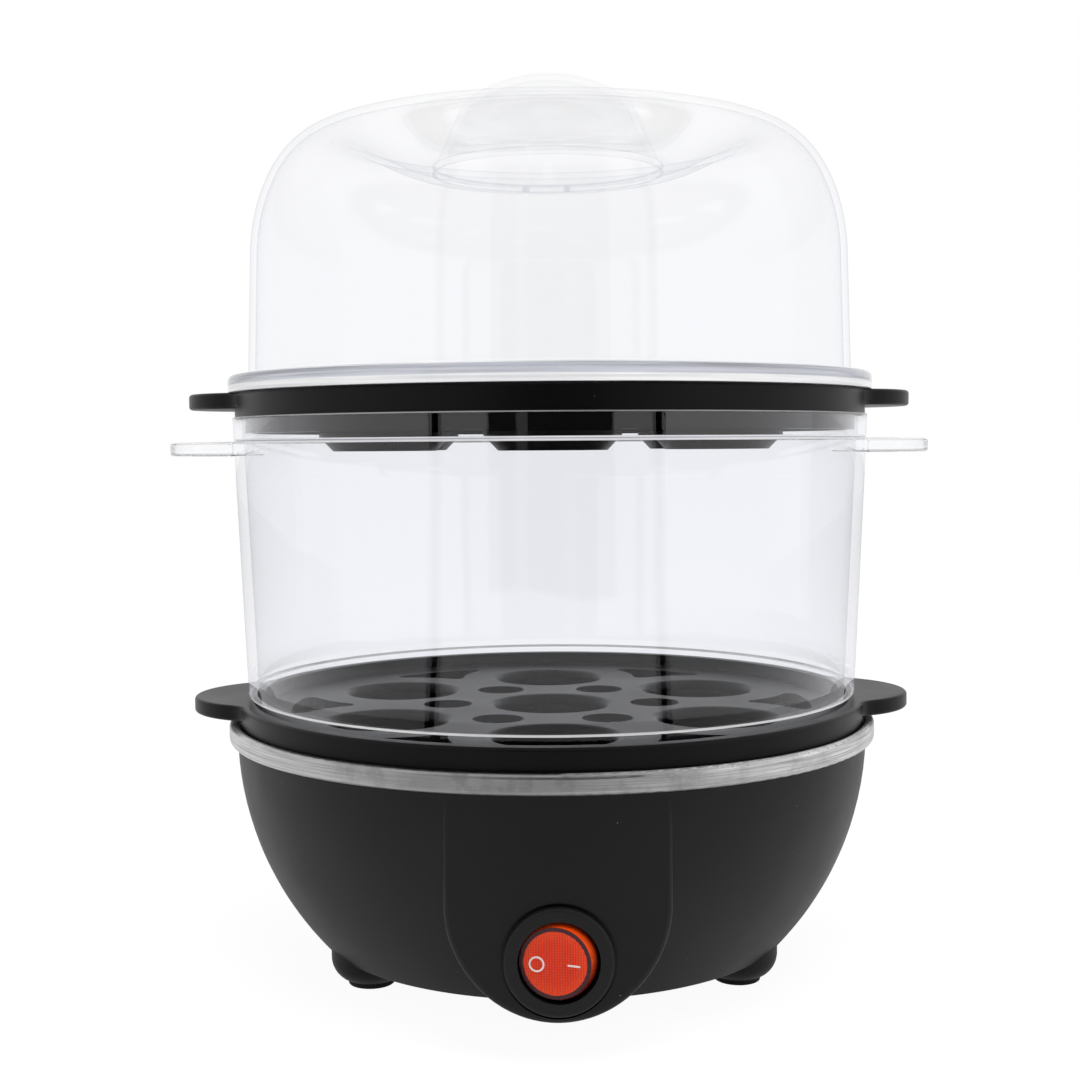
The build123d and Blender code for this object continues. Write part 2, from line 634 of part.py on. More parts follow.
def steam_ring():
    step_z = ring_z + RING_STEP_HEIGHT
    collar_z = ring_top - COLLAR_DEPTH
    slope = RING_TAPER / (ring_top - step_z)
    collar_outer = ring_top_radius - slope * COLLAR_DEPTH
    points = [(locate_radius, ring_z), (locate_radius, step_z), (ring_step_radius, step_z),
              (ring_top_radius, ring_top), (collar_radius, ring_top), (collar_radius, collar_z),
              (collar_outer - RING_WALL, collar_z), (ring_step_radius - RING_WALL, step_z + RING_WALL),
              (skirt_inner, step_z), (skirt_inner, ring_z)]
    wall = turned_outline(points)
    ear_top = ring_top - RING_EAR_DROP
    ear_radius = ring_top_radius - slope * RING_EAR_DROP - RING_WALL / 2
    reach = RING_EAR_REACH + RING_WALL / 2
    ears = ear_plate(ear_radius, reach, RING_EAR_THICKNESS, ear_top)
    ears -= rod(ear_radius, ear_top - RING_EAR_THICKNESS, ear_top)
    return wall + ears


def dome_lines(inset):
    """Dome outline from the flange to the knob's crown, inset by a wall thickness."""
    wall_top = lid_z + LID_WALL_HEIGHT
    crest_z = lid_z + LID_CREST_HEIGHT - inset
    floor_z = lid_z + LID_CREST_HEIGHT - LID_SUNK_DROP - inset
    knob_z = lid_z + LID_CREST_HEIGHT - LID_SUNK_DROP + KNOB_HEIGHT - inset
    foot_radius = lid_wall_radius - inset
    shoulder_radius = foot_radius - LID_WALL_HEIGHT * sin(radians(LID_DRAFT))
    lean = shoulder_radius - lid_crest_radius
    rise = crest_z - wall_top
    wall = Line((foot_radius, lid_z), (shoulder_radius, wall_top))
    shoulder = EllipticalCenterArc((lid_crest_radius, wall_top), lean, rise, arc_size=QUARTER_TURN)
    base = KNOB_BASE_RADIUS - inset
    top = base - KNOB_TAPER
    crown = KNOB_CROWN - inset
    crown_edge = knob_z - crown + sqrt(crown ** 2 - top ** 2)
    dip = Spline((lid_crest_radius, crest_z), (lid_sunk_radius, floor_z), tangents=[(-1, 0), (-1, 0)])
    knob = Polyline((lid_sunk_radius, floor_z), (base, floor_z), (top, crown_edge))
    cap = RadiusArc((top, crown_edge), (0, knob_z), -crown)
    return [wall, shoulder, dip, knob, cap], knob_z, foot_radius


def dome_solid(inset):
    """Filled dome with its knob, from the flange's underside up."""
    lines, top, foot = dome_lines(inset)
    closing = Polyline((0, top), (0, lid_z), (foot, lid_z))
    solid = turned(*lines, closing)
    knob_top = KNOB_BASE_RADIUS - inset - KNOB_TAPER
    crown_edge = [e for e in solid.edges().filter_by(GeomType.CIRCLE)
                  if abs(e.radius - knob_top) < TOLERANCE]
    return fillet(crown_edge, KNOB_EDGE)


def dome_lid():
    lid = dome_solid(0)
    flange = rod(TRAY_RADIUS + LID_OVERHANG, lid_z, lid_z + LID_FLANGE_HEIGHT)
    top_edge = flange.edges().sort_by(Axis.Z)[-1]
    lid += fillet(top_edge, LID_FLANGE_HEIGHT / 3)
    lid -= dome_solid(LID_WALL)
    skirt_bottom = lid_z - LID_SKIRT_DROP
    lid += rod(locate_radius, skirt_bottom, lid_z + LID_WALL)
    lid -= rod(skirt_inner, skirt_bottom, lid_z + LID_WALL)
    floor_z = lid_z + LID_CREST_HEIGHT - LID_SUNK_DROP
    for side in (-1, 1):
        spot = place(lid_sunk_radius, 180 + side * STEAM_HOLE_SPREAD)
        lid -= rod(STEAM_HOLE_RADIUS, floor_z - 2 * LID_WALL, floor_z + LID_SUNK_DROP, spot.X, spot.Y)
    return lid


def at_pivot(solid, turn):
    """Put a piece drawn about the rocker's pivot, front towards -Y, in its place at a turn."""
    return Pos(0, pivot_y, switch_z) * Rot(0, 0, turn) * solid


def switch_body():
    body = rod_y(bezel_radius, bezel_front, bezel_seat, z=switch_z)
    body = fillet(body.edges().sort_by(Axis.Y)[0], BEZEL_ROUND)
    body += rod_y(barrel_radius, bezel_seat, barrel_end, z=switch_z)
    body -= rod_y(rocker_opening, bezel_front, barrel_end - BARREL_BACK, z=switch_z)
    for x in (-TAB_SPACING, 0, TAB_SPACING):
        slot = (TAB_THICKNESS + 2 * PRESS_GAP, 2 * BARREL_BACK, TAB_WIDTH + 2 * PRESS_GAP)
        body -= block(slot, (x, barrel_end - BARREL_BACK, switch_z))
    reach = bezel_radius - BEZEL_ROUND - RUNNING_GAP
    body -= rod(PIVOT_RADIUS + RUNNING_GAP, switch_z - reach, switch_z + reach, 0, pivot_y)
    return body


def switch_rocker():
    ball = Sphere(ROCKER_BALL)
    depth = ROCKER_FRONT + ROCKER_BACK
    rocker = ball & block((2 * ROCKER_BALL, depth, 2 * ROCKER_BALL), (0, ROCKER_BACK - depth / 2, 0))
    rocker -= rod_y(ROCKER_POCKET, ROCKER_WALL - ROCKER_FRONT, ROCKER_BACK)
    rocker += rod_y(STEM_RADIUS, ROCKER_WALL - ROCKER_FRONT, STEM_END)
    rocker -= rod_y(STEM_BORE, ROCKER_WALL - ROCKER_FRONT, STEM_END)
    pin_start = ROCKER_POCKET + PIVOT_ROOT
    pin_end = barrel_radius - SEAT_GAP
    rocker += rod(PIVOT_RADIUS, pin_start, pin_end) + rod(PIVOT_RADIUS, -pin_end, -pin_start)
    return at_pivot(rocker, ROCKER_REST_TURN)


def rocker_marks():
    front = -ROCKER_FRONT
    ring = rod_y(MARK_RADIUS, front - MARK_THICKNESS, front, x=-MARK_OFFSET)
    ring -= rod_y(MARK_RADIUS - MARK_LINE, front - MARK_THICKNESS, front, x=-MARK_OFFSET)
    bar = block((MARK_BAR, MARK_THICKNESS, MARK_LINE), (MARK_OFFSET, front - MARK_THICKNESS / 2, 0))
    return Compound(children=[at_pivot(ring, ROCKER_REST_TURN), at_pivot(bar, ROCKER_REST_TURN)])


def switch_plunger():
    head_start = PLUNGER_END - 2 * STEM_END + ROCKER_BACK
    plunger = rod_y(STEM_BORE - RUNNING_GAP, head_start, STEM_END - SEAT_GAP)
    tip = rod_y(PLUNGER_RADIUS, STEM_END - SEAT_GAP, PLUNGER_END - PLUNGER_RADIUS)
    tip += Pos(0, PLUNGER_END - PLUNGER_RADIUS, 0) * Sphere(PLUNGER_RADIUS)
    return at_pivot(plunger + tip, ROCKER_REST_TURN)


def switch_spring():
    start = ROCKER_WALL - ROCKER_FRONT
    end = PLUNGER_END - 2 * STEM_END + ROCKER_BACK
    coil_radius = STEM_BORE - SPRING_WIRE - RUNNING_GAP
    height = end - start - 2 * SPRING_WIRE - RUNNING_GAP
    path = Helix(height / SPRING_TURNS, height, coil_radius)
    section = Plane(origin=path @ 0, z_dir=path % 0) * Circle(SPRING_WIRE)
    coil = sweep(section, path=path, is_frenet=True)
    return at_pivot(Pos(0, start + SPRING_WIRE, 0) * Rot(-90, 0, 0) * coil, ROCKER_REST_TURN)


def indicator_lamp():
    lamp = rod(LAMP_RADIUS, -LAMP_LENGTH / 2, LAMP_LENGTH / 2, LAMP_OFFSET, 0)
    lamp = fillet(lamp.edges().filter_by(GeomType.CIRCLE), LAMP_RADIUS / 2)
    return at_pivot(lamp, ROCKER_REST_TURN)


def switch_contact_lever():
    """Flat lever with a round knuckle on the axis it tips about."""
    lever = block((lever_length, LEVER_THICKNESS, LEVER_WIDTH), (0, -LEVER_THICKNESS / 2, 0))
    lever += rod(LEVER_THICKNESS, -LEVER_WIDTH / 2, LEVER_WIDTH / 2)
    return Pos(0, lever_pivot_y, switch_z) * Rot(0, 0, LEVER_REST_TURN) * lever


def switch_tabs():
    tabs = []
    drop = lever_length / 2 * sin(radians(LEVER_REST_TURN))
    for x in (-TAB_SPACING, 0, TAB_SPACING):
        start = lever_pivot_y + SEAT_GAP + (drop if x else LEVER_THICKNESS)
        end = barrel_end + TAB_LENGTH
        size = (TAB_THICKNESS, end - start, TAB_WIDTH)
        tab = block(size, (x, (start + end) / 2, switch_z))
        tabs.append(tab)
    return Compound(children=tabs)


def element_path():
    """Open ring with both ends bent down, as one line."""
    half = ELEMENT_SPAN / 2
    start = place(element_circle, -half, spreader_under)
    middle = place(element_circle, 0, spreader_under)
    end = place(element_circle, half, spreader_under)
    ring = ThreePointArc(start, middle, end)
    lines = []
    for point, out in ((start, ring % 0 * -1), (end, ring % 1)):
        half_way = out * ELEMENT_BEND * sin(pi / 4) - Vector(0, 0, ELEMENT_BEND * (1 - cos(pi / 4)))
        corner = point + out * ELEMENT_BEND - Vector(0, 0, ELEMENT_BEND)
        turn = ThreePointArc(point, point + half_way, corner)
        lines.append((turn, Line(corner, corner - Vector(0, 0, ELEMENT_TAIL))))
    return ring, lines


def tube_along(radius, ring, ends):
    """Round tube along the heater's path."""
    tube = sweep(Plane(origin=ring @ 0, z_dir=ring % 0) * Circle(radius), path=ring)
    for turn, tail in ends:
        tube += sweep(Plane(origin=turn @ 0, z_dir=turn % 0) * Circle(radius), path=turn)
        tube += sweep(Plane(origin=tail @ 0, z_dir=tail % 0) * Circle(radius), path=tail)
    return tube


def heating_element():
    return tube_along(ELEMENT_RADIUS, *element_path())


def element_ends():
    """Lower ends of the heater's two tails."""
    _, ends = element_path()
    return [tail @ 1 for _, tail in ends]


def element_beads():
    beads = [rod(BEAD_RADIUS, p.Z - BEAD_LENGTH, p.Z, p.X, p.Y) for p in element_ends()]
    return Compound(children=beads)


def element_tabs():
    tabs = []
    for p in element_ends():
        top = p.Z - BEAD_LENGTH
        tabs.append(block((TAB_WIDTH, TAB_THICKNESS, ELEMENT_TAB_LENGTH),
                          (p.X, p.Y, top - ELEMENT_TAB_LENGTH / 2)))
    return Compound(children=tabs)


def heat_spreader():
    plate = rod(spreader_radius, spreader_under, dish_under)
    plate -= rod(spreader_hole, spreader_under, dish_under)
    plate -= tube_along(ELEMENT_RADIUS + PRESS_GAP, *element_path())
    top = spreader_under + SMALL_SCREW_GRIP
    for x, y in small_screw_spots():
        plate -= rod(SMALL_SCREW_RADIUS + PRESS_GAP, spreader_under, top, x, y)
    return plate


def small_screw_spots():
    """Screws into the spreader: two of the bracket and one of the fuse clip."""
    return [(-bracket_screw_x, 0), (bracket_screw_x, 0), (0, clip_screw_y())]


def clip_screw_y():
    return fuse_y + FUSE_RADIUS + CLIP_SHEET + SMALL_SCREW_HEAD_RADIUS + SEAT_GAP


def small_screw(x, y, under):
    """Small screw whose head bears on a sheet with its underside at a height."""
    screw = rod(SMALL_SCREW_RADIUS, under, spreader_under + SMALL_SCREW_GRIP - SEAT_GAP, x, y)
    head = rod(SMALL_SCREW_HEAD_RADIUS, under - SMALL_SCREW_HEAD, under, x, y)
    return screw + fillet(head.edges().sort_by(Axis.Z)[0], SMALL_SCREW_HEAD / 3)


def thermostat_cup():
    return rod(THERMOSTAT_RADIUS, dish_under - THERMOSTAT_CUP, dish_under)


def thermostat_base():
    top = dish_under - THERMOSTAT_CUP
    base = rod(THERMOSTAT_RADIUS - BRACKET_SHEET, top - THERMOSTAT_BASE, top)
    return base


thermostat_under = dish_under - THERMOSTAT_CUP - THERMOSTAT_BASE
thermostat_tab_z = thermostat_under + THERMOSTAT_BASE / 2


def thermostat_tabs():
    start = THERMOSTAT_RADIUS - BRACKET_SHEET
    z = thermostat_tab_z
    tabs = []
    for side in (-1, 1):
        y = side * (start + THERMOSTAT_TAB_LENGTH / 2)
        tab = block((TAB_WIDTH, THERMOSTAT_TAB_LENGTH, TAB_THICKNESS), (0, y, z))
        tabs.append(tab - rod(start, z - TAB_THICKNESS, z + TAB_THICKNESS))
    return Compound(children=tabs)


def thermostat_bracket():
    half = BRACKET_SHEET / 2
    top = spreader_under - half
    low = thermostat_under - half
    leg = THERMOSTAT_RADIUS + BRACKET_SHEET + BRACKET_CURVE
    end = bracket_screw_x + BRACKET_END
    line = FilletPolyline((-end, top), (-leg, top), (-leg, low), (leg, low), (leg, top), (end, top),
                          radius=BRACKET_CURVE)
    strip = extrude(Plane.XZ * trace(line, BRACKET_SHEET), BRACKET_WIDTH / 2, both=True)
    hole = SMALL_SCREW_RADIUS + PRESS_GAP
    for x in (-bracket_screw_x, bracket_screw_x):
        strip -= rod(hole, spreader_under - 2 * BRACKET_SHEET, spreader_under, x, 0)
    return strip


tag_under = spreader_under - BRACKET_SHEET - TAB_THICKNESS


def bracket_screws():
    right = small_screw(bracket_screw_x, 0, spreader_under - BRACKET_SHEET)
    return Compound(children=[small_screw(-bracket_screw_x, 0, tag_under), right])


def earth_tag():
    """Ring under the left bracket screw with a blade towards the front."""
    tag = rod(TAG_RADIUS, tag_under, tag_under + TAB_THICKNESS, -bracket_screw_x, 0)
    length = THERMOSTAT_TAB_LENGTH
    centre = (-bracket_screw_x, -TAG_RADIUS / 2 - length / 2, tag_under + TAB_THICKNESS / 2)
    tag += block((TAG_BLADE_WIDTH, length, TAB_THICKNESS), centre)
    return tag - rod(SMALL_SCREW_RADIUS + PRESS_GAP, tag_under, spreader_under, -bracket_screw_x, 0)


fuse_z = spreader_under - FUSE_RADIUS - PRESS_GAP


def thermal_fuse():
    fuse = Pos(-FUSE_LENGTH / 2, fuse_y, fuse_z) * Rot(0, 90, 0) * extrude(Circle(FUSE_RADIUS), FUSE_LENGTH)
    return fillet(fuse.edges().filter_by(GeomType.CIRCLE), FUSE_RADIUS / 4)


def fuse_clip():
    """Strap under the fuse, its flange screwed to the spreader."""
    half = CLIP_SHEET / 2
    top = spreader_under - half
    low = fuse_z - FUSE_RADIUS - half - PRESS_GAP
    near = fuse_y - FUSE_RADIUS - half - PRESS_GAP
    far = fuse_y + FUSE_RADIUS + half + PRESS_GAP
    line = FilletPolyline((near, spreader_under - SEAT_GAP), (near, low), (far, low), (far, top),
                          (clip_screw_y() + SMALL_SCREW_HEAD_RADIUS, top), radius=CLIP_SHEET)
    strap = extrude(Plane.YZ * trace(line, CLIP_SHEET), CLIP_WIDTH / 2, both=True)
    hole = SMALL_SCREW_RADIUS + PRESS_GAP
    return strap - rod(hole, spreader_under - 2 * CLIP_SHEET, spreader_under, 0, clip_screw_y())


def fuse_screw():
    return small_screw(0, clip_screw_y(), spreader_under - CLIP_SHEET)


def at_block(solid):
    """Put a piece drawn about the terminal block's foot in its place on the housing's floor."""
    spot = place(block_circle, BLOCK_ANGLE, cavity_floor)
    return Pos(spot.X, spot.Y, spot.Z) * Rot(0, 0, BLOCK_ANGLE) * solid


def way_offsets():
    return [(k - (BLOCK_WAYS - 1) / 2) * BLOCK_PITCH for k in range(BLOCK_WAYS)]


def terminal_block():
    body = block((BLOCK_LENGTH, BLOCK_DEPTH, BLOCK_HEIGHT), (0, 0, BLOCK_HEIGHT / 2))
    body = fillet(body.edges().filter_by(Axis.Z), BLOCK_CORNER)
    for x in way_offsets():
        body -= rod_y(BLOCK_BORE, -BLOCK_DEPTH / 2, BLOCK_DEPTH / 2, x=x, z=BLOCK_HEIGHT / 2)
        body -= rod(SMALL_SCREW_RADIUS + PRESS_GAP, BLOCK_HEIGHT / 2, BLOCK_HEIGHT, x, 0)
    return at_block(body)


def terminal_screws():
    low = BLOCK_HEIGHT / 2 + BLOCK_BORE
    screws = []
    for x in way_offsets():
        screw = rod(SMALL_SCREW_RADIUS, low, BLOCK_HEIGHT - SEAT_GAP, x, 0)
        slot = (2 * SMALL_SCREW_RADIUS, SHEET, 2 * SHEET)
        screws.append(at_block(screw - block(slot, (x, 0, BLOCK_HEIGHT - SEAT_GAP))))
    return Compound(children=screws)


def cord_gland():
    inner_face = gland_face - GLAND_PANEL
    start = inner_face - GLAND_FLANGE_THICKNESS
    end = gland_face + GLAND_FLANGE_THICKNESS
    gland = rod_y(GLAND_FLANGE, gland_face, end, z=gland_z)
    gland = fillet(gland.edges().sort_by(Axis.Y)[-1], GLAND_FLANGE_THICKNESS / 3)
    gland += rod_y(GLAND_NECK - PRESS_GAP, inner_face, gland_face, z=gland_z)
    gland += rod_y(GLAND_FLANGE - SEAT_GAP, start, inner_face, z=gland_z)
    return gland - rod_y(CORD_RADIUS, start, end, z=gland_z)


def lead(points, radius=LEAD_RADIUS):
    """Insulated wire through points, each corner an arc as large as its two runs allow."""
    corners = []
    for before, here, after in zip(points, points[1:], points[2:]):
        runs = (Vector(here) - Vector(before), Vector(after) - Vector(here))
        turn = radians(runs[0].get_angle(runs[1]))
        corners.append(LEAD_BEND_SHARE * min(run.length for run in runs) / tan_half(turn))
    line = FilletPolyline(*points, radius=corners)
    start = Plane(origin=line @ 0, z_dir=line % 0)
    return sweep(start * Circle(radius), path=line)


def tan_half(angle):
    return sin(angle / 2) / cos(angle / 2)


def raised(points, base):
    """Points whose heights are counted from a base."""
    return [(x, y, base + height) for x, y, height in points]


def block_entry(way):
    """Last points of a lead that enters one way of the terminal block from the axis's side."""
    centre = place(block_circle, BLOCK_ANGLE, cavity_floor + BLOCK_HEIGHT / 2)
    along = Vector(cos(radians(BLOCK_ANGLE)), sin(radians(BLOCK_ANGLE)), 0)
    outward = place(1, BLOCK_ANGLE)
    mouth = centre + along * way_offsets()[way] - outward * (BLOCK_DEPTH / 2)
    ends = [mouth - outward * LEAD_ENTRY, mouth + outward * LEAD_IN_BLOCK]
    return [(p.X, p.Y, p.Z) for p in ends]


def stub(point, direction):
    """A terminal's point and the end of the straight run that leaves it."""
    out = Vector(*point) + Vector(*direction) * LEAD_STUB
    return [tuple(point), (out.X, out.Y, out.Z)]


def live_lead():
    """From the switch to the terminal block."""
    start = stub((TAB_SPACING, barrel_end + TAB_LENGTH, switch_z), (0, 1, 0))
    return lead(start + raised(LIVE_ROUTE, cavity_floor) + block_entry(0))


def switched_lead():
    """From the switch to the thermostat."""
    start = stub((-TAB_SPACING, barrel_end + TAB_LENGTH, switch_z), (0, 1, 0))
    tab_end = THERMOSTAT_RADIUS - BRACKET_SHEET + THERMOSTAT_TAB_LENGTH
    end = stub((0, -tab_end, thermostat_tab_z), (0, -1, 0))
    return lead(start + raised(SWITCHED_ROUTE, spreader_under) + end[::-1])


def fuse_lead():
    """From the thermostat to the fuse."""
    tab_middle = THERMOSTAT_RADIUS - BRACKET_SHEET + THERMOSTAT_TAB_LENGTH / 2
    start = stub((-TAB_WIDTH / 2, tab_middle, thermostat_tab_z), (-1, 0, 0))
    end = stub((-FUSE_LENGTH / 2, fuse_y, fuse_z), (-1, 0, 0))
    return lead(start + raised(FUSE_ROUTE, spreader_under) + end[::-1])


def element_stub(side):
    """Straight run to the front face of the heater's left (-1) or right (1) tab."""
    end = max(element_ends(), key=lambda p: side * p.X)
    height = end.Z - BEAD_LENGTH - ELEMENT_TAB_LENGTH / 2
    return stub((end.X, end.Y - TAB_THICKNESS / 2, height), (0, -1, 0))


def heater_lead():
    """From the fuse to the heater's right end."""
    start = stub((FUSE_LENGTH / 2, fuse_y, fuse_z), (1, 0, 0))
    return lead(start + raised(HEATER_ROUTE, spreader_under) + element_stub(1)[::-1])


def neutral_lead():
    """From the heater's left end to the terminal block."""
    return lead(element_stub(-1) + raised(NEUTRAL_ROUTE, cavity_floor) + block_entry(1))


def earth_lead():
    """From the earth tag to the terminal block."""
    blade_end = TAG_RADIUS / 2 + THERMOSTAT_TAB_LENGTH
    height = spreader_under - SEAT_GAP - LEAD_RADIUS
    start = stub((-bracket_screw_x, -blade_end, height), (0, -1, 0))
    route = raised(EARTH_DROP, spreader_under) + raised(EARTH_ROUTE, cavity_floor)
    return lead(start + route + block_entry(2))


NODES = {
    "base_housing": base_housing,
    "bottom_cover": bottom_cover,
    "cover_screws": cover_screws,
    "water_dish": water_dish,
    "dish_seal": dish_seal,
    "dish_bushes": dish_bushes,
    "dish_screws": dish_screws,
    "heat_spreader": heat_spreader,
    "heating_element": heating_element,
    "element_beads": element_beads,
    "element_tabs": element_tabs,
    "thermostat_cup": thermostat_cup,
    "thermostat_base": thermostat_base,
    "thermostat_tabs": thermostat_tabs,
    "thermostat_bracket": thermostat_bracket,
    "bracket_screws": bracket_screws,
    "earth_tag": earth_tag,
    "thermal_fuse": thermal_fuse,
    "fuse_clip": fuse_clip,
    "fuse_screw": fuse_screw,
    "terminal_block": terminal_block,
    "terminal_screws": terminal_screws,
    "cord_gland": cord_gland,
    "switch_body": switch_body,
    "switch_rocker": switch_rocker,
    "rocker_marks": rocker_marks,
    "switch_plunger": switch_plunger,
    "switch_spring": switch_spring,
    "switch_contact_lever": switch_contact_lever,
    "switch_tabs": switch_tabs,
    "indicator_lamp": indicator_lamp,
    "live_lead": live_lead,
    "switched_lead": switched_lead,
    "fuse_lead": fuse_lead,
    "heater_lead": heater_lead,
    "neutral_lead": neutral_lead,
    "earth_lead": earth_lead,
    "steam_ring": steam_ring,
    "dome_lid": dome_lid,
}


def build_all():
    solids = {name: make() for name, make in NODES.items()}
    for name, angle in foot_angles.items():
        solids[name + "_foot_pad"] = foot_pad(angle)
    solids["lower_egg_tray"] = egg_tray(lower_tray_z)
    solids["upper_egg_tray"] = egg_tray(upper_tray_z)
    return solids


os.makedirs("parts", exist_ok=True)
for node, solid in build_all().items():
    export_step(solid, f"parts/{node}.step")
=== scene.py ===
"""Two-tier egg steamer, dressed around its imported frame.

The frame's nodes keep their meshes and get finishes. The clear lid, with its rounded edges, and
the switch's two printed marks are modelled again. Metres, +Z up, the switch looks along -Y.
"""
from math import cos, pi, radians, sin, tan

import bpy
from bpy.props import FloatProperty, FloatVectorProperty, PointerProperty
from mathutils import Matrix, Vector


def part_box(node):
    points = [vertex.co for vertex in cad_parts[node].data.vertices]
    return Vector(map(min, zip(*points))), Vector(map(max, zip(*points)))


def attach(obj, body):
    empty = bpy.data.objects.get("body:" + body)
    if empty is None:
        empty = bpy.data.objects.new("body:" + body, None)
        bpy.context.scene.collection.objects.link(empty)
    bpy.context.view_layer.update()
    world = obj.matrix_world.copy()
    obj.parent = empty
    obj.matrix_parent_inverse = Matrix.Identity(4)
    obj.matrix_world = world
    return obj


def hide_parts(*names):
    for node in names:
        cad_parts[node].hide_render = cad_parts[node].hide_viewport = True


bl_info = {
    "name": "Two-Tier Egg Steamer",
    "version": (1, 0, 0),
    "blender": (4, 5, 0),
    "location": "3D View > Sidebar > Steamer",
    "description": "Dresses the egg steamer around its frame and lights it",
    "category": "Add Mesh",
}

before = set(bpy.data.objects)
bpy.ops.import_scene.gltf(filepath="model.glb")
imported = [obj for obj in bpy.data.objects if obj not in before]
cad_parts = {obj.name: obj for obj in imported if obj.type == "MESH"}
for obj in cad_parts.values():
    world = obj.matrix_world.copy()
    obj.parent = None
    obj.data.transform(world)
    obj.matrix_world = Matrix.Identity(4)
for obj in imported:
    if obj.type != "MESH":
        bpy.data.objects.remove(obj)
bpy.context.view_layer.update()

WHITE = (1.0, 1.0, 1.0, 1.0)
# Height or width over which a painted band ends.
SOFT_END = 0.0001

# Steps of the round forms.
CORNER_STEPS = 6
CROWN_STEPS = 9
FLANK_STEPS = 16
SHOULDER_STEPS = 24
TURN_STEPS = 128
CARD_STEPS = 12
FLOOR_SIDES = 96
HOLE_SIDES = 32
MARK_SIDES = 48


# ---- Sizes and colours that a user would change ----
def a_length(**words):
    """Property that holds a length."""
    return FloatProperty(unit="LENGTH", **words)


def an_angle(**words):
    """Property that holds an angle."""
    return FloatProperty(subtype="ANGLE", **words)


def a_share(**words):
    """Property that holds a share, from none to all."""
    return FloatProperty(min=0.0, max=1.0, subtype="FACTOR", **words)


def a_place(**words):
    """Property that holds a place."""
    return FloatVectorProperty(subtype="XYZ", unit="LENGTH", **words)


def a_colour(**words):
    """Property that holds a colour."""
    return FloatVectorProperty(subtype="COLOR", size=3, **words)


class StageSettings(bpy.types.PropertyGroup):
    """Camera, floor and light."""
    camera_place: a_place(
        name="Camera Place", description="Where the camera stands",
        default=(-0.0063, -0.4013, 0.128))
    camera_heading: an_angle(
        name="Heading", description="Turn of the camera to its left", default=radians(-0.531))
    camera_tilt: an_angle(
        name="Tilt", description="How far the camera looks down", default=radians(3.404))
    camera_roll: an_angle(
        name="Roll", description="Roll about the camera's own axis", default=-0.00685)
    lens: FloatProperty(
        name="Lens", description="Focal length on a 36 mm sensor, in millimetres", default=53.28)
    floor_radius: a_length(name="Floor Radius", description="Radius of the floor", default=6.0)
    floor_glow: a_share(
        name="Floor Glow", description="Share of the floor seen as plain white", default=0.9)
    floor_gloss: a_share(
        name="Floor Gloss", description="Share of the floor mirrored as plain white", default=0.35)
    floor_brightness: FloatProperty(
        name="Floor Brightness", description="Brightness of that plain white", default=1.05)
    ambient: FloatProperty(
        name="Ambient", description="Strength of the light from all round", default=0.62)
    lamp_power: FloatProperty(
        name="Lamp Power", description="Power of the large lamp above", default=9.0, unit="POWER")
    lamp_size: a_length(name="Lamp Size", description="Width of the large lamp", default=0.9)
    lamp_place: a_place(
        name="Lamp Place", description="Where the large lamp hangs", default=(0.15, -0.35, 1.25))
    lamp_aim: a_place(
        name="Lamp Aim", description="What the large lamp shines at", default=(0.0, 0.0, 0.1))
    card_start: a_length(
        name="Card Start", description="Near edge of the cards on the floor, to the axis",
        default=0.6)
    strip_start: a_length(
        name="Strip Start", description="Near edge of the two dark strips, to the axis",
        default=0.16)
    card_distance: a_length(
        name="Card Distance", description="Upright part of the cards to the axis", default=1.4)
    card_height: a_length(name="Card Height", description="Top edge of the cards", default=1.3)


class BlackSettings(bpy.types.PropertyGroup):
    """Black moulded plastic of the base and the trays."""
    colour: a_colour(
        name="Colour", description="Colour of the black plastic", default=(0.003, 0.003, 0.0032))
    roughness: a_share(name="Roughness", description="Satin of the mould's finish", default=0.46)
    polish: a_share(name="Polish", description="Roughness of polished stretches", default=0.1)
    grain: a_length(name="Grain", description="Size of the mould's texture", default=0.0004)
    grain_depth: a_length(
        name="Grain Depth", description="Depth of the mould's texture", default=0.00002)
    dust: a_length(name="Dust", description="Radius of a speck of dust", default=0.00009)


class ClearSettings(bpy.types.PropertyGroup):
    """Clear plastic of the lid and the ring."""
    colour: a_colour(
        name="Colour", description="Tint of the clear plastic, for one face of a wall",
        default=(0.965, 0.968, 0.98))
    edge_colour: a_colour(
        name="Edge Colour", description="Tint where the plastic is seen along its edge",
        default=(0.72, 0.73, 0.78))
    edge_power: FloatProperty(
        name="Edge Power", description="How close to edge-on that tint starts", default=16.0)
    gloss: a_share(
        name="Gloss", description="Share of light that a wall mirrors when seen straight on",
        default=0.03)
    low_gloss: a_share(
        name="Low Gloss", description="Share of that gloss left under the ring's collar",
        default=0.8)
    bending: FloatProperty(
        name="Index", description="How far solid parts bend light", default=1.33)
    roughness: a_share(name="Roughness", description="Haze of the polished mould", default=0.012)
    wave: a_length(
        name="Wave", description="Length of the faint waves left by moulding", default=0.03)


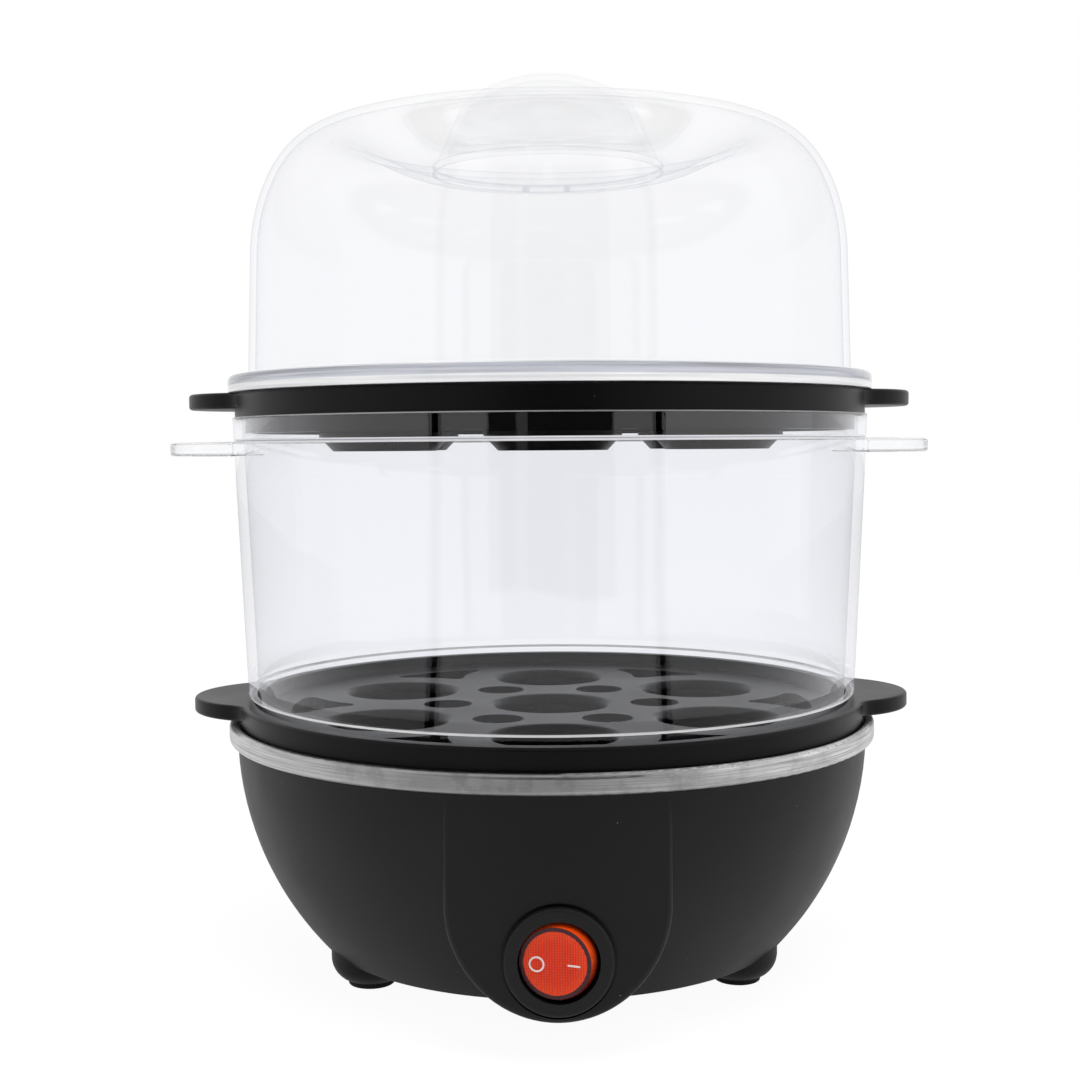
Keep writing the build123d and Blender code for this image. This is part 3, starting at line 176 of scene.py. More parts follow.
class LidSettings(bpy.types.PropertyGroup):
    """Shape of the clear lid."""
    wall: a_length(name="Wall", description="Thickness of the wall", default=0.0016)
    wall_radius: a_length(name="Wall Radius", description="Foot of the wall", default=0.0742)
    draft: an_angle(name="Draft", description="Lean of the wall", default=radians(1.85))
    flange: a_length(name="Flange", description="Height of the flange", default=0.0042)
    shoulder_rise: a_length(
        name="Shoulder Rise", description="Start of the shoulder above the flange's underside",
        default=0.0315)
    crest_rise: a_length(
        name="Crest Rise", description="Crest above the flange's underside", default=0.0634)
    crest_radius: a_length(name="Crest Radius", description="Radius of the crest", default=0.054)
    sunk_radius: a_length(
        name="Sunk Radius", description="Edge of the sunk floor round the knob", default=0.03)
    knob_rise: a_length(
        name="Knob Rise", description="Knob's top above the sunk floor", default=0.0224)
    knob_base: a_length(name="Knob Base", description="Radius of the knob's foot", default=0.028)
    knob_top: a_length(
        name="Knob Top", description="Radius of the knob under its crown", default=0.021)
    crown: a_length(
        name="Crown", description="Radius of the curve of the knob's top", default=0.035)
    locating_radius: a_length(
        name="Locating Radius", description="Outside of the skirt inside the tray", default=0.0732)
    hole: a_length(name="Steam Hole", description="Radius of the two steam holes", default=0.0016)
    hole_angle: an_angle(
        name="Steam Hole Angle", description="Steam holes to the rear, either side",
        default=radians(11.0))


class SteelSettings(bpy.types.PropertyGroup):
    """Stainless sheet of the water dish."""
    colour: a_colour(name="Colour", description="Colour of the steel", default=(0.52, 0.52, 0.525))
    roughness: a_share(name="Roughness", description="Satin of the brushed steel", default=0.32)
    scratch: a_length(name="Scratch", description="Width of the brush lines", default=0.00022)
    # Painted shade: the rim is painted darker round a spot at its front, fading out to the reach.
    tint_and_painted_shade: a_place(
        name="Stain", description="Middle of the stained stretch of the rim",
        default=(-0.014, -0.08, 0.0585))
    painted_shade_core: a_length(
        name="Stain Core", description="Where the stain starts to fade", default=0.012)
    painted_shade_reach: a_length(name="Stain Reach", description="Where the stain ends", default=0.07)
    painted_shade_strength: a_share(
        name="Stain Strength", description="Darkness of the stain's middle", default=0.85)


class RockerSettings(bpy.types.PropertyGroup):
    """Translucent rocker of the switch."""
    colour: a_colour(name="Colour", description="Colour of the rocker", default=(0.9, 0.04, 0.006))
    # The rim's colour is painted shade round the face.
    rim_shade_colour: a_colour(
        name="Rim Colour", description="Colour of the rim round the face",
        default=(0.05, 0.012, 0.018))
    # The side's colour is painted light, lighter high up and near the face.
    side_colour: a_colour(
        name="Side Colour", description="Colour of the rocker's side where light passes it",
        default=(0.85, 0.07, 0.004))
    rim_start: a_length(
        name="Rim Start", description="Inner radius of the rim round the face", default=0.00665)
    turn: an_angle(name="Turn", description="Turn of the rocker at rest", default=radians(-12.0))
    pivot: a_place(
        name="Pivot", description="Middle of the rocker's axis", default=(0.0, -0.0757, 0.0218))
    face: a_length(name="Face", description="Rocker's face ahead of its axis", default=0.0038)
    pitch: a_length(
        name="Pitch", description="Pitch of the fine grid on the face", default=0.00055)
    mark_place: a_length(
        name="Mark Place", description="Middle of each mark to the middle of the face",
        default=0.0039)
    mark_drop: a_length(
        name="Mark Drop", description="Middle of the marks below the middle of the face",
        default=0.0003)
    mark_radius: a_length(
        name="Mark Radius", description="Outer radius of the round mark", default=0.00165)
    mark_line: a_length(name="Mark Line", description="Width of the marks' lines", default=0.00038)
    mark_bar: a_length(name="Mark Bar", description="Length of the straight mark", default=0.0026)
    mark_depth: a_length(name="Mark Depth", description="Thickness of the marks", default=0.0002)
    mark_tilt: an_angle(
        name="Mark Tilt", description="Lean of the straight mark", default=radians(4.0))


class SteamerSettings(bpy.types.PropertyGroup):
    """All settings of the steamer."""
    stage: PointerProperty(type=StageSettings, name="Stage", description="Camera, floor and light")
    black: PointerProperty(type=BlackSettings, name="Black", description="Black plastic")
    clear: PointerProperty(type=ClearSettings, name="Clear", description="Clear plastic")
    lid: PointerProperty(type=LidSettings, name="Lid", description="Shape of the clear lid")
    steel: PointerProperty(type=SteelSettings, name="Steel", description="Stainless steel")
    rocker: PointerProperty(type=RockerSettings, name="Rocker", description="Rocker of the switch")


# ---- Node trees ----
def feed(tree, node, inputs):
    """Give a node's inputs their values or links."""
    for key, value in inputs.items():
        if isinstance(value, bpy.types.NodeSocket):
            tree.links.new(value, node.inputs[key])
        else:
            node.inputs[key].default_value = value


def add_node(tree, kind, inputs=None, **settings):
    """Shader node of a kind, its settings set and its inputs given values or links."""
    made = tree.nodes.new("ShaderNode" + kind)
    for name, value in settings.items():
        setattr(made, name, value)
    feed(tree, made, inputs or {})
    return made


def maths(tree, operation, first, second=0.0, third=0.0):
    """Result of a Math node."""
    return add_node(tree, "Math", {0: first, 1: second, 2: third},
                    operation=operation).outputs[0]


def times(tree, first, second):
    """Product of two numbers."""
    return maths(tree, "MULTIPLY", first, second)


def ranged(tree, value, low, high, to_low, to_high):
    """A value moved from one range to another, and held inside it."""
    return add_node(tree, "MapRange",
                    {0: value, 1: low, 2: high, 3: to_low, 4: to_high}).outputs[0]


def spread(tree, value, to_low, to_high):
    """A noise's middle stretch, where most of it lies, moved to another range."""
    return ranged(tree, value, 0.3, 0.7, to_low, to_high)


def blended(tree, factor, first, second):
    """Mix of two colours, whose inputs on the node are the ones numbered 6 and 7."""
    return add_node(tree, "Mix", {0: factor, 6: first, 7: second},
                    data_type="RGBA").outputs[2]


def shaders_mixed(tree, factor, first, second):
    """Mix of two shaders' nodes."""
    return add_node(tree, "MixShader", {0: factor, 1: first.outputs[0], 2: second.outputs[0]})


def noise(tree, vector, scale, detail=2.0, roughness=0.5):
    """Noise at a scale, as a number."""
    return add_node(tree, "TexNoise", {
        "Vector": vector, "Scale": scale, "Detail": detail, "Roughness": roughness}).outputs[0]


def bumped(tree, height, distance, strength=1.0):
    """Normal of a surface raised by a height."""
    return add_node(tree, "Bump", {
        "Height": height, "Distance": distance, "Strength": strength}).outputs[0]


def here(tree):
    """Place on the piece."""
    return add_node(tree, "TexCoord").outputs["Object"]


def around(tree):
    """Flat way from the axis to a place on the piece, its length, and the place's height."""
    spot = add_node(tree, "SeparateXYZ", {0: here(tree)})
    flat = add_node(tree, "CombineXYZ", {0: spot.outputs[0], 1: spot.outputs[1]})
    away = add_node(tree, "VectorMath", {0: flat.outputs[0]}, operation="LENGTH")
    return flat.outputs[0], away.outputs["Value"], spot.outputs[2]


def new_finish(name):
    """Material with its tree and its main shader."""
    finish = bpy.data.materials.new(name)
    finish.use_nodes = True
    return finish, finish.node_tree, finish.node_tree.nodes["Principled BSDF"]


def show(tree, shader, output="Material Output"):
    """Let a material or a world show a shader's node."""
    feed(tree, tree.nodes[output], {"Surface": shader.outputs[0]})


def tinted(colour, share):
    """Colour brightened or darkened by a share, with alpha."""
    return tuple(min(1.0, part * share) for part in colour) + (1.0,)


def specks(tree, spacing, radius):
    """One where a speck of dust lies, else nothing."""
    cells = add_node(tree, "TexVoronoi", {"Vector": here(tree), "Scale": 1 / spacing},
                     feature="F1")
    return maths(tree, "LESS_THAN", cells.outputs["Distance"], radius / spacing)


def band(tree, value, low, high, soft=SOFT_END):
    """One between two values, nothing outside them, with soft ends."""
    rise = ranged(tree, value, low - soft, low, 0.0, 1.0)
    fall = ranged(tree, value, high, high + soft, 1.0, 0.0)
    return times(tree, rise, fall)


def region(tree, radius, height, least, low, high):
    """One beyond a radius and between two heights, else nothing."""
    beyond = maths(tree, "GREATER_THAN", radius, least)
    return times(tree, beyond, band(tree, height, low, high))


def mould_grain(tree, size, depth, strength=1.0):
    """Normal of a spark-eroded mould's texture."""
    fine = noise(tree, here(tree), 1 / size, detail=3.0, roughness=0.6)
    return bumped(tree, fine, depth, strength)


def dress(finish, *names):
    """Give a finish to nodes of the frame."""
    for name in names:
        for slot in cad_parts[name].material_slots:
            slot.material = finish


# ---- Black plastic ----
PLASTIC_INDEX = 1.5
BLACK_CLOUD = 45.0
BLACK_DUST_COLOUR = (0.25, 0.25, 0.25, 1.0)
BLACK_DUST_SPACING = 0.0045


def black_finish(name, settings, lift=1.0, rough=0.0, gloss=0.25, grain=1.0, polished=None):
    """Black moulded plastic with its texture and a little dust.

    A polished stretch is (largest radius, low, high).
    """
    finish, tree, shader = new_finish(name)
    cloud = noise(tree, here(tree), BLACK_CLOUD, detail=3.0)
    base = blended(tree, cloud, tinted(settings.colour, 0.8 * lift),
                   tinted(settings.colour, 1.2 * lift))
    dust = specks(tree, BLACK_DUST_SPACING, settings.dust)
    satin = settings.roughness + rough
    rubbed = spread(tree, cloud, satin - 0.03, satin + 0.04)
    strength = grain
    if polished is not None:
        most, low, high = polished
        _, radius, height = around(tree)
        within = maths(tree, "LESS_THAN", radius, most)
        skirt = times(tree, within, band(tree, height, low, high))
        rubbed = maths(tree, "MULTIPLY_ADD", skirt, settings.polish - settings.roughness, rubbed)
        strength = maths(tree, "MULTIPLY_ADD", skirt, -grain, grain)
    feed(tree, shader, {
        "Base Color": blended(tree, dust, base, BLACK_DUST_COLOUR),
        "Roughness": rubbed,
        "Normal": mould_grain(tree, settings.grain, settings.grain_depth, strength),
        "Specular IOR Level": gloss,
        "IOR": PLASTIC_INDEX})
    return finish


# ---- Clear plastic ----
# Radii between which the knob's fainter tint gives way to the full one, and its share of it. The
# fainter tint is painted light: the knob shows lighter.
KNOB_FADE = (0.026, 0.034)
KNOB_SHARE = 0.3
# How level a face is where its tint starts to fade and where it ends, and the share left. Level
# faces, the tops, are painted lighter this way.
LEVEL_FADE = (0.15, 0.7)
LEVEL_SHARE = 0.3
# Fold line of painted shade round the knob's foot.
FOLD_SHADE_COLOUR = (0.78, 0.79, 0.84, 1.0)
FOLD_WIDTH = 0.0006
FOLD_SOFT = 0.0002
FOLD_SHARE = 0.7
MIRROR_COLOUR = (0.97, 0.97, 0.98, 1.0)
SMEAR_SCALE = 60.0
# Share that a wall mirrors more when seen along its face, and how suddenly it comes.
RISE_SHARE = 0.5
RISE_POWER = 3.0
CLEAR_DUST_COLOUR = (0.7, 0.7, 0.71, 1.0)
CLEAR_DUST_SPACING = 0.011
CLEAR_DUST_RADIUS = 0.00012
# Streaks in the painted bands along the rims: long round the rim, fine in height.
STREAK_SCALE = (22.0, 22.0, 1500.0)
STREAK_TINTS = (0.82, 1.3)
SHADOW_TINT = (0.95, 0.952, 0.962, 1.0)


def thin_wall(tree, settings, tint, gloss, normal, collar, line):
    """Shader of a thin clear wall: light goes straight on, and a share of it is mirrored.

    Under the collar's height less is mirrored, and at the line's radius a fold of painted shade
    shows. The tint is painted lighter on the knob and on level faces.
    """
    facing = add_node(tree, "LayerWeight", {"Blend": 0.5}).outputs["Facing"]
    slope = add_node(tree, "SeparateXYZ", {0: add_node(tree, "TexCoord").outputs["Normal"]})
    level = maths(tree, "ABSOLUTE", slope.outputs[2])
    _, radius, height = around(tree)
    # Painted light: the tint is fainter on the knob and on level faces, which show lighter.
    knob = ranged(tree, radius, *KNOB_FADE, KNOB_SHARE, 1.0)
    fade = ranged(tree, level, *LEVEL_FADE, tint, tint * LEVEL_SHARE)
    tint_and_painted_shade = times(tree, knob, fade)
    colour = blended(tree, tint_and_painted_shade, WHITE, tinted(settings.colour, 1.0))
    edge = times(tree, knob, maths(tree, "POWER", facing, settings.edge_power))
    colour = blended(tree, edge, colour, tinted(settings.edge_colour, 1.0))
    # Painted shade: a grey line at the fold.
    fold = band(tree, radius, line - FOLD_WIDTH / 2, line + FOLD_WIDTH / 2, FOLD_SOFT)
    colour = blended(tree, times(tree, fold, FOLD_SHARE), colour, FOLD_SHADE_COLOUR)
    passing = add_node(tree, "BsdfTransparent", {0: colour})
    smear = noise(tree, here(tree), SMEAR_SCALE, detail=4.0)
    haze = ranged(tree, smear, 0.35, 0.75, settings.roughness, settings.roughness * 3)
    mirrored = add_node(tree, "BsdfAnisotropic",
                        {"Color": MIRROR_COLOUR, "Roughness": haze, "Normal": normal})
    full = settings.gloss * gloss
    straight = ranged(tree, height, collar - SOFT_END, collar + SOFT_END,
                      full * settings.low_gloss, full)
    rise = maths(tree, "POWER", facing, RISE_POWER)
    share = maths(tree, "MULTIPLY_ADD", rise, RISE_SHARE * gloss, straight)
    return shaders_mixed(tree, share, passing, mirrored)


def clear_finish(name, settings, tint, gloss, collar=0.0, line=-1.0, solid=(), painted_edge_bands=()):
    """Clear plastic: thin walls, solid parts that bend light, and bands of painted highlight and
    painted shade that scatter it.

    Each solid part is (least radius, low, high); a band adds its painted colour and its share of
    scatter.
    """
    finish, tree, shader = new_finish(name)
    _, radius, height = around(tree)
    wave = noise(tree, here(tree), 1 / settings.wave, detail=1.0)
    normal = bumped(tree, wave, settings.wave / 60, 0.3)
    dust = specks(tree, CLEAR_DUST_SPACING, CLEAR_DUST_RADIUS)
    colour = blended(tree, dust, tinted(settings.colour, 1.0), CLEAR_DUST_COLOUR)
    scatter = 0.0
    thick = 0.0
    drawn = add_node(tree, "Mapping", {"Vector": here(tree), "Scale": STREAK_SCALE})
    streak = ranged(tree, noise(tree, drawn.outputs[0], 1.0), 0.35, 0.65, 0.0, 1.0)
    for least, low, high in solid:
        thick = maths(tree, "MAXIMUM", thick, region(tree, radius, height, least, low, high))
    # Each band paints a highlight or shade along an edge, streaked.
    for least, low, high, shade, amount in painted_edge_bands:
        share = region(tree, radius, height, least, low, high)
        dark, light = (tinted(shade, part) for part in STREAK_TINTS)
        colour = blended(tree, share, colour, blended(tree, streak, dark, light))
        scatter = maths(tree, "MAXIMUM", scatter, times(tree, share, amount))
        thick = maths(tree, "MAXIMUM", thick, share)
    feed(tree, shader, {
        "Base Color": colour,
        "Transmission Weight": maths(tree, "SUBTRACT", 1.0, scatter),
        "Roughness": settings.roughness,
        "Normal": normal,
        "IOR": settings.bending})
    thin = thin_wall(tree, settings, tint, gloss, normal, collar, line)
    plastic = shaders_mixed(tree, thick, thin, shader)
    # Light reaches what lies behind the plastic, hardly dimmed.
    path = add_node(tree, "LightPath")
    through = add_node(tree, "BsdfTransparent", {0: SHADOW_TINT})
    show(tree, shaders_mixed(tree, path.outputs["Is Shadow Ray"], plastic, through))
    return finish


# ---- Steel and the small parts ----
# How much the brush's lines change over one turn.
LINE_CHANGES = 3.0
LINE_DEPTH = 0.000012
STAIN_SCALE = 110.0
BRUSH_TINTS = (0.5, 1.6)
STAIN_AND_PAINTED_SHADE_TINT = 0.45

# Colour, roughness and grain of the plain metals.
METALS = {
    "Brass": ((0.7, 0.5, 0.2), 0.32, 0.0008),
    "Cast aluminium": ((0.72, 0.72, 0.73), 0.42, 0.0012),
    "Zinc plate": ((0.56, 0.57, 0.58), 0.34, 0.0008),
}
# Colour and roughness of rubber, silicone, ceramic, print and the small parts' plastics.
SOFTS = {
    "Foot rubber": ((0.003, 0.003, 0.003), 0.85),
    "Seal silicone": ((0.5, 0.47, 0.42), 0.55),
    "Mark white": ((0.86, 0.7, 0.7), 0.5),
    "Lamp glass": ((0.9, 0.45, 0.25), 0.1),
    "Ceramic": ((0.8, 0.77, 0.7), 0.7),
    "Phenolic": ((0.06, 0.032, 0.022), 0.45),
    "Terminal white": ((0.78, 0.78, 0.75), 0.5),
    "Lead brown": ((0.13, 0.045, 0.018), 0.35),
    "Lead blue": ((0.02, 0.09, 0.42), 0.35),
    "Lead green": ((0.12, 0.4, 0.04), 0.35),
}
SOFT_GRAIN = 0.0006
SOFT_DEPTH = 0.00003


def round_lines(tree, width):
    """Fine lines that run round the axis, as a brush leaves them."""
    flat, radius, height = around(tree)
    ahead = add_node(tree, "VectorMath", {0: flat}, operation="NORMALIZE")
    side = add_node(tree, "SeparateXYZ", {0: ahead.outputs[0]})
    across = maths(tree, "ADD", height, radius)
    lines = add_node(tree, "CombineXYZ", {
        0: times(tree, side.outputs[0], LINE_CHANGES),
        1: times(tree, side.outputs[1], LINE_CHANGES),
        2: times(tree, across, 1 / width)})
    return noise(tree, lines.outputs[0], 1.0, detail=3.0, roughness=0.7)


def steel_finish(settings):
    """Brushed stainless sheet with faint stains, and painted shade that darkens a stretch round
    the front of the rim.
    """
    finish, tree, shader = new_finish("Brushed stainless")
    lines = round_lines(tree, settings.scratch)
    cloud = noise(tree, here(tree), STAIN_SCALE, detail=5.0, roughness=0.7)
    away = add_node(tree, "VectorMath", {0: here(tree), 1: tuple(settings.tint_and_painted_shade)},
                    operation="DISTANCE").outputs["Value"]
    # Painted shade round a spot at the rim's front, added to the random stains.
    patch = ranged(tree, away, settings.painted_shade_core, settings.painted_shade_reach,
                   settings.painted_shade_strength, 0.0)
    stains_and_painted_shade = maths(tree, "ADD", ranged(tree, cloud, 0.5, 0.72, 0.0, 0.4), patch)
    dark, light = (tinted(settings.colour, part) for part in BRUSH_TINTS)
    streaked = blended(tree, spread(tree, lines, 0.0, 1.0), dark, light)
    worn = maths(tree, "ADD", ranged(tree, lines, 0.2, 0.8, -0.08, 0.08),
                 ranged(tree, cloud, 0.4, 0.7, settings.roughness, settings.roughness + 0.12))
    feed(tree, shader, {
        "Base Color": blended(tree, stains_and_painted_shade, streaked, tinted(settings.colour, STAIN_AND_PAINTED_SHADE_TINT)),
        "Metallic": 1.0,
        "Roughness": worn,
        "Normal": bumped(tree, lines, LINE_DEPTH)})
    return finish


def metal_finish(name):
    """Plain metal of the small parts, dull in patches."""
    colour, roughness, grain = METALS[name]
    finish, tree, shader = new_finish(name)
    patch = noise(tree, here(tree), 1 / (grain * 6), detail=4.0, roughness=0.6)
    fine = noise(tree, here(tree), 1 / grain, detail=3.0)
    feed(tree, shader, {
        "Base Color": blended(tree, patch, tinted(colour, 0.75), tinted(colour, 1.15)),
        "Metallic": 1.0,
        "Roughness": spread(tree, patch, roughness - 0.08, roughness + 0.1),
        "Normal": bumped(tree, fine, grain / 60)})
    return finish


def soft_finish(name):
    """Rubber, silicone, ceramic and moulded plastic of the small parts."""
    colour, roughness = SOFTS[name]
    finish, tree, shader = new_finish(name)
    patch = noise(tree, here(tree), 1 / (SOFT_GRAIN * 8), detail=3.0)
    feed(tree, shader, {
        "Base Color": blended(tree, patch, tinted(colour, 0.82), tinted(colour, 1.12)),
        "Roughness": spread(tree, patch, roughness - 0.06, roughness + 0.06),
        "Normal": mould_grain(tree, SOFT_GRAIN, SOFT_DEPTH)})
    return finish


# ---- Rocker ----
ROCKER_CLOUD = 180.0
# Reach of the grid's teeth into the rim, and the width over which the rim starts.
TOOTH = 0.00016
RIM_SOFT = 0.00015
# Shares of the rocker's colour in the grid's grooves, painted shade, and on its teeth, painted
# light, each from and to.
GROOVE_SHADE_TINTS = (0.5, 0.66)
TOOTH_LIGHT_TINTS = (1.05, 1.25)
# Painted light: a glow in the face's colour towards its rim.
EDGE_GLOW = (0.95, 0.1, 0.01, 1.0)
EDGE_GLOW_START = 0.004
EDGE_GLOW_SHARE = 0.3
# Painted shade on the rocker's side, where its painted light fades.
SHADED_SIDE = (0.05, 0.001, 0.0005, 1.0)
# Depths behind the face between which the side starts, and between which its light fades.
SIDE_START = (0.00004, 0.0001)
SIDE_FADE = (0.0, 0.0036)
# Heights between which the side's light rises, to the rocker's axis.
SIDE_RISE = (-0.004, 0.003)


def face_grid(tree, spot, pitch):
    """Fine square grid, from nothing in its grooves to one on its teeth."""
    ridges = []
    for axis in (0, 2):
        phase = times(tree, spot.outputs[axis], 2 * pi / pitch)
        ridges.append(maths(tree, "MULTIPLY_ADD", maths(tree, "SINE", phase), 0.5, 0.5))
    return times(tree, ridges[0], maths(tree, "MULTIPLY_ADD", ridges[1], 0.6, 0.4))


def face_colour(tree, settings, cloud, grid, away):
    """Colour of the rocker's face: its grid with painted shade in the grooves and painted light on
    the teeth, a painted glow towards the rim, and the dark rim of painted shade.
    """
    groove_shade, lit = (blended(tree, cloud, *(tinted(settings.colour, part) for part in tints))
                 for tints in (GROOVE_SHADE_TINTS, TOOTH_LIGHT_TINTS))
    glow = ranged(tree, away, EDGE_GLOW_START, settings.rim_start, 0.0, EDGE_GLOW_SHARE)
    face = blended(tree, glow, blended(tree, grid, groove_shade, lit), EDGE_GLOW)
    # The dark rim is painted shade.
    toothed = maths(tree, "MULTIPLY_ADD", grid, TOOTH, away)
    rim = ranged(tree, toothed, settings.rim_start, settings.rim_start + RIM_SOFT, 0.0, 1.0)
    return blended(tree, rim, face, tinted(settings.rim_shade_colour, 1.0))


def rocker_finish(settings):
    """Orange-red translucent plastic: a fine square grid on the face, a dark rim of painted shade,
    sides with painted light and painted shade.
    """
    finish, tree, shader = new_finish("Rocker red")
    offset = add_node(tree, "VectorMath", {0: here(tree), 1: tuple(settings.pivot)},
                      operation="SUBTRACT")
    own = add_node(tree, "Mapping", {
        "Vector": offset.outputs[0], "Rotation": (0.0, 0.0, -settings.turn)})
    spot = add_node(tree, "SeparateXYZ", {0: own.outputs[0]})
    flat = add_node(tree, "CombineXYZ", {0: spot.outputs[0], 2: spot.outputs[2]})
    away = add_node(tree, "VectorMath", {0: flat.outputs[0]}, operation="LENGTH").outputs["Value"]
    grid = face_grid(tree, spot, settings.pitch)
    cloud = noise(tree, here(tree), ROCKER_CLOUD)
    face = face_colour(tree, settings, cloud, grid, away)
    depth = maths(tree, "ADD", spot.outputs[1], settings.face)
    # Painted light on the side, lighter high up and near the face, and painted shade further back.
    high = ranged(tree, spot.outputs[2], *SIDE_RISE, 0.12, 1.0)
    lit = times(tree, high, ranged(tree, depth, *SIDE_FADE, 1.0, 0.1))
    side = blended(tree, lit, SHADED_SIDE, tinted(settings.side_colour, 1.0))
    on_side = ranged(tree, depth, *SIDE_START, 0.0, 1.0)
    feed(tree, shader, {
        "Base Color": blended(tree, on_side, face, side),
        "Roughness": spread(tree, cloud, 0.24, 0.36),
        "Normal": bumped(tree, grid, settings.pitch / 8, 0.5),
        "Specular IOR Level": 0.25,
        "Subsurface Weight": 0.1,
        "Subsurface Radius": (1.0, 0.25, 0.1),
        "Subsurface Scale": 0.0008})
    return finish


# ---- Stage ----
SENSOR_WIDTH = 36.0
NEAREST_SEEN = 0.01
FLOOR_WHITE = (0.9, 0.9, 0.9, 1.0)
CARD_LIFT = 0.002
# A line of sight through the knob crosses a dozen clear faces and more.
CLEAR_LAYERS = 32

# Cards round the front, seen only in gloss: from and to angle in degrees towards +X, brightness.
CARDS = [
    ("far_left", -100.0, -41.5, 1.0),
    ("strip_left", -41.5, -38.0, 0.0),
    ("near_left", -38.0, -21.4, 0.85),
    ("middle_left", -21.4, -11.9, 0.04),
    ("slot", -11.9, -8.2, 0.35),
    ("middle_right", -8.2, 20.6, 0.04),
    ("near_right", 20.6, 34.3, 0.85),
    ("strip_right", 34.3, 37.6, 0.0),
    ("far_right", 37.6, 100.0, 1.2),
]


def clear_selection():
    """Leave edit mode and deselect all."""
    if bpy.context.object is not None and bpy.context.object.mode != "OBJECT":
        bpy.ops.object.mode_set(mode="OBJECT")
    bpy.ops.object.select_all(action="DESELECT")


def swept(name, start, moves, steps, angle):
    """Piece swept about the axis from a line that starts at a place and goes on by moves."""
    clear_selection()
    bpy.ops.mesh.primitive_plane_add(size=0.01)
    piece = bpy.context.object
    piece.name = name
    bpy.ops.object.mode_set(mode="EDIT")
    bpy.ops.mesh.merge(type="CENTER")
    bpy.ops.transform.translate(value=start)
    for move in moves:
        bpy.ops.mesh.extrude_vertices_move(TRANSFORM_OT_translate={"value": move})
    bpy.ops.mesh.select_all(action="SELECT")
    bpy.ops.mesh.spin(steps=steps, angle=angle, use_auto_merge=True, center=(0, 0, 0),
                      axis=(0, 0, 1))
    bpy.ops.object.mode_set(mode="OBJECT")
    return piece


def seen_share(tree, share, gloss_share):
    """Share where the camera or a clear piece looks, another where a gloss does, else nothing."""
    path = add_node(tree, "LightPath")
    straight = maths(tree, "MAXIMUM", path.outputs["Is Camera Ray"],
                     path.outputs["Is Transmission Ray"])
    return maths(tree, "MAXIMUM", times(tree, straight, share),
                 times(tree, path.outputs["Is Glossy Ray"], gloss_share))


def place_camera(settings):
    """Camera at its place and angle."""
    data = bpy.data.cameras.new("Camera")
    data.lens = settings.lens
    data.sensor_width = SENSOR_WIDTH
    data.clip_start = NEAREST_SEEN
    camera = bpy.data.objects.new("Camera", data)
    bpy.context.collection.objects.link(camera)
    turn = (Matrix.Rotation(settings.camera_heading, 4, "Z")
            @ Matrix.Rotation(pi / 2 - settings.camera_tilt, 4, "X")
            @ Matrix.Rotation(settings.camera_roll, 4, "Z"))
    camera.matrix_world = Matrix.Translation(settings.camera_place) @ turn
    bpy.context.scene.camera = camera


def lay_floor(settings):
    """White floor that keeps the shadow of what stands on it."""
    clear_selection()
    bpy.ops.mesh.primitive_circle_add(vertices=FLOOR_SIDES, radius=settings.floor_radius,
                                      fill_type="NGON")
    floor = bpy.context.object
    floor.name = "floor"
    finish, tree, shader = new_finish("Floor white")
    tree.nodes.remove(shader)
    plain = add_node(tree, "BsdfDiffuse", {0: FLOOR_WHITE})
    glow = add_node(tree, "Emission", {0: WHITE, 1: settings.floor_brightness})
    share = seen_share(tree, settings.floor_glow, settings.floor_gloss)
    show(tree, shaders_mixed(tree, share, plain, glow))
    floor.data.materials.append(finish)


def fill_world(settings):
    """Even light from all round, and white where it is seen."""
    world = bpy.data.worlds.new("White room")
    world.use_nodes = True
    bpy.context.scene.world = world
    tree = world.node_tree
    ambient = tree.nodes["Background"]
    feed(tree, ambient, {"Color": WHITE, "Strength": settings.ambient})
    white = add_node(tree, "Background", {0: WHITE, 1: 1.0})
    show(tree, shaders_mixed(tree, seen_share(tree, 1.0, 1.0), ambient, white), "World Output")


def hang_lamp(settings):
    """Large soft lamp above that isn't itself mirrored."""
    data = bpy.data.lights.new("lamp_above", "AREA")
    data.shape = "DISK"
    data.size = settings.lamp_size
    data.energy = settings.lamp_power
    lamp = bpy.data.objects.new("lamp_above", data)
    bpy.context.collection.objects.link(lamp)
    place = Vector(settings.lamp_place)
    lamp.location = place
    lamp.rotation_euler = (Vector(settings.lamp_aim) - place).to_track_quat("-Z", "Y").to_euler()
    lamp.visible_glossy = False
    lamp.visible_camera = False
    lamp.visible_transmission = False


def card_finish(name, brightness):
    """Finish that shines where a gloss looks, also through clear plastic, and else is nothing."""
    finish, tree, shader = new_finish("Card " + name)
    tree.nodes.remove(shader)
    glow = add_node(tree, "Emission", {0: WHITE, 1: brightness})
    path = add_node(tree, "LightPath")
    beyond = maths(tree, "GREATER_THAN", path.outputs["Glossy Depth"], 0.5)
    hidden = add_node(tree, "BsdfTransparent")
    seen = maths(tree, "MAXIMUM", beyond, path.outputs["Is Glossy Ray"])
    show(tree, shaders_mixed(tree, seen, hidden, glow))
    return finish


def stand_card(settings, name, start, end, brightness):
    """Curved card that lies on the floor and then stands up, and that only gloss sees."""
    ahead = Vector((sin(radians(start)), -cos(radians(start)), 0.0))
    near = settings.strip_start if name.startswith("strip") else settings.card_start
    moves = [ahead * (settings.card_distance - near), (0.0, 0.0, settings.card_height)]
    card = swept("card_" + name, ahead * near + Vector((0.0, 0.0, CARD_LIFT)), moves,
                 CARD_STEPS, radians(start - end))
    card.data.materials.append(card_finish(name, brightness))
    card.visible_camera = False
    card.visible_diffuse = False
    card.visible_shadow = False


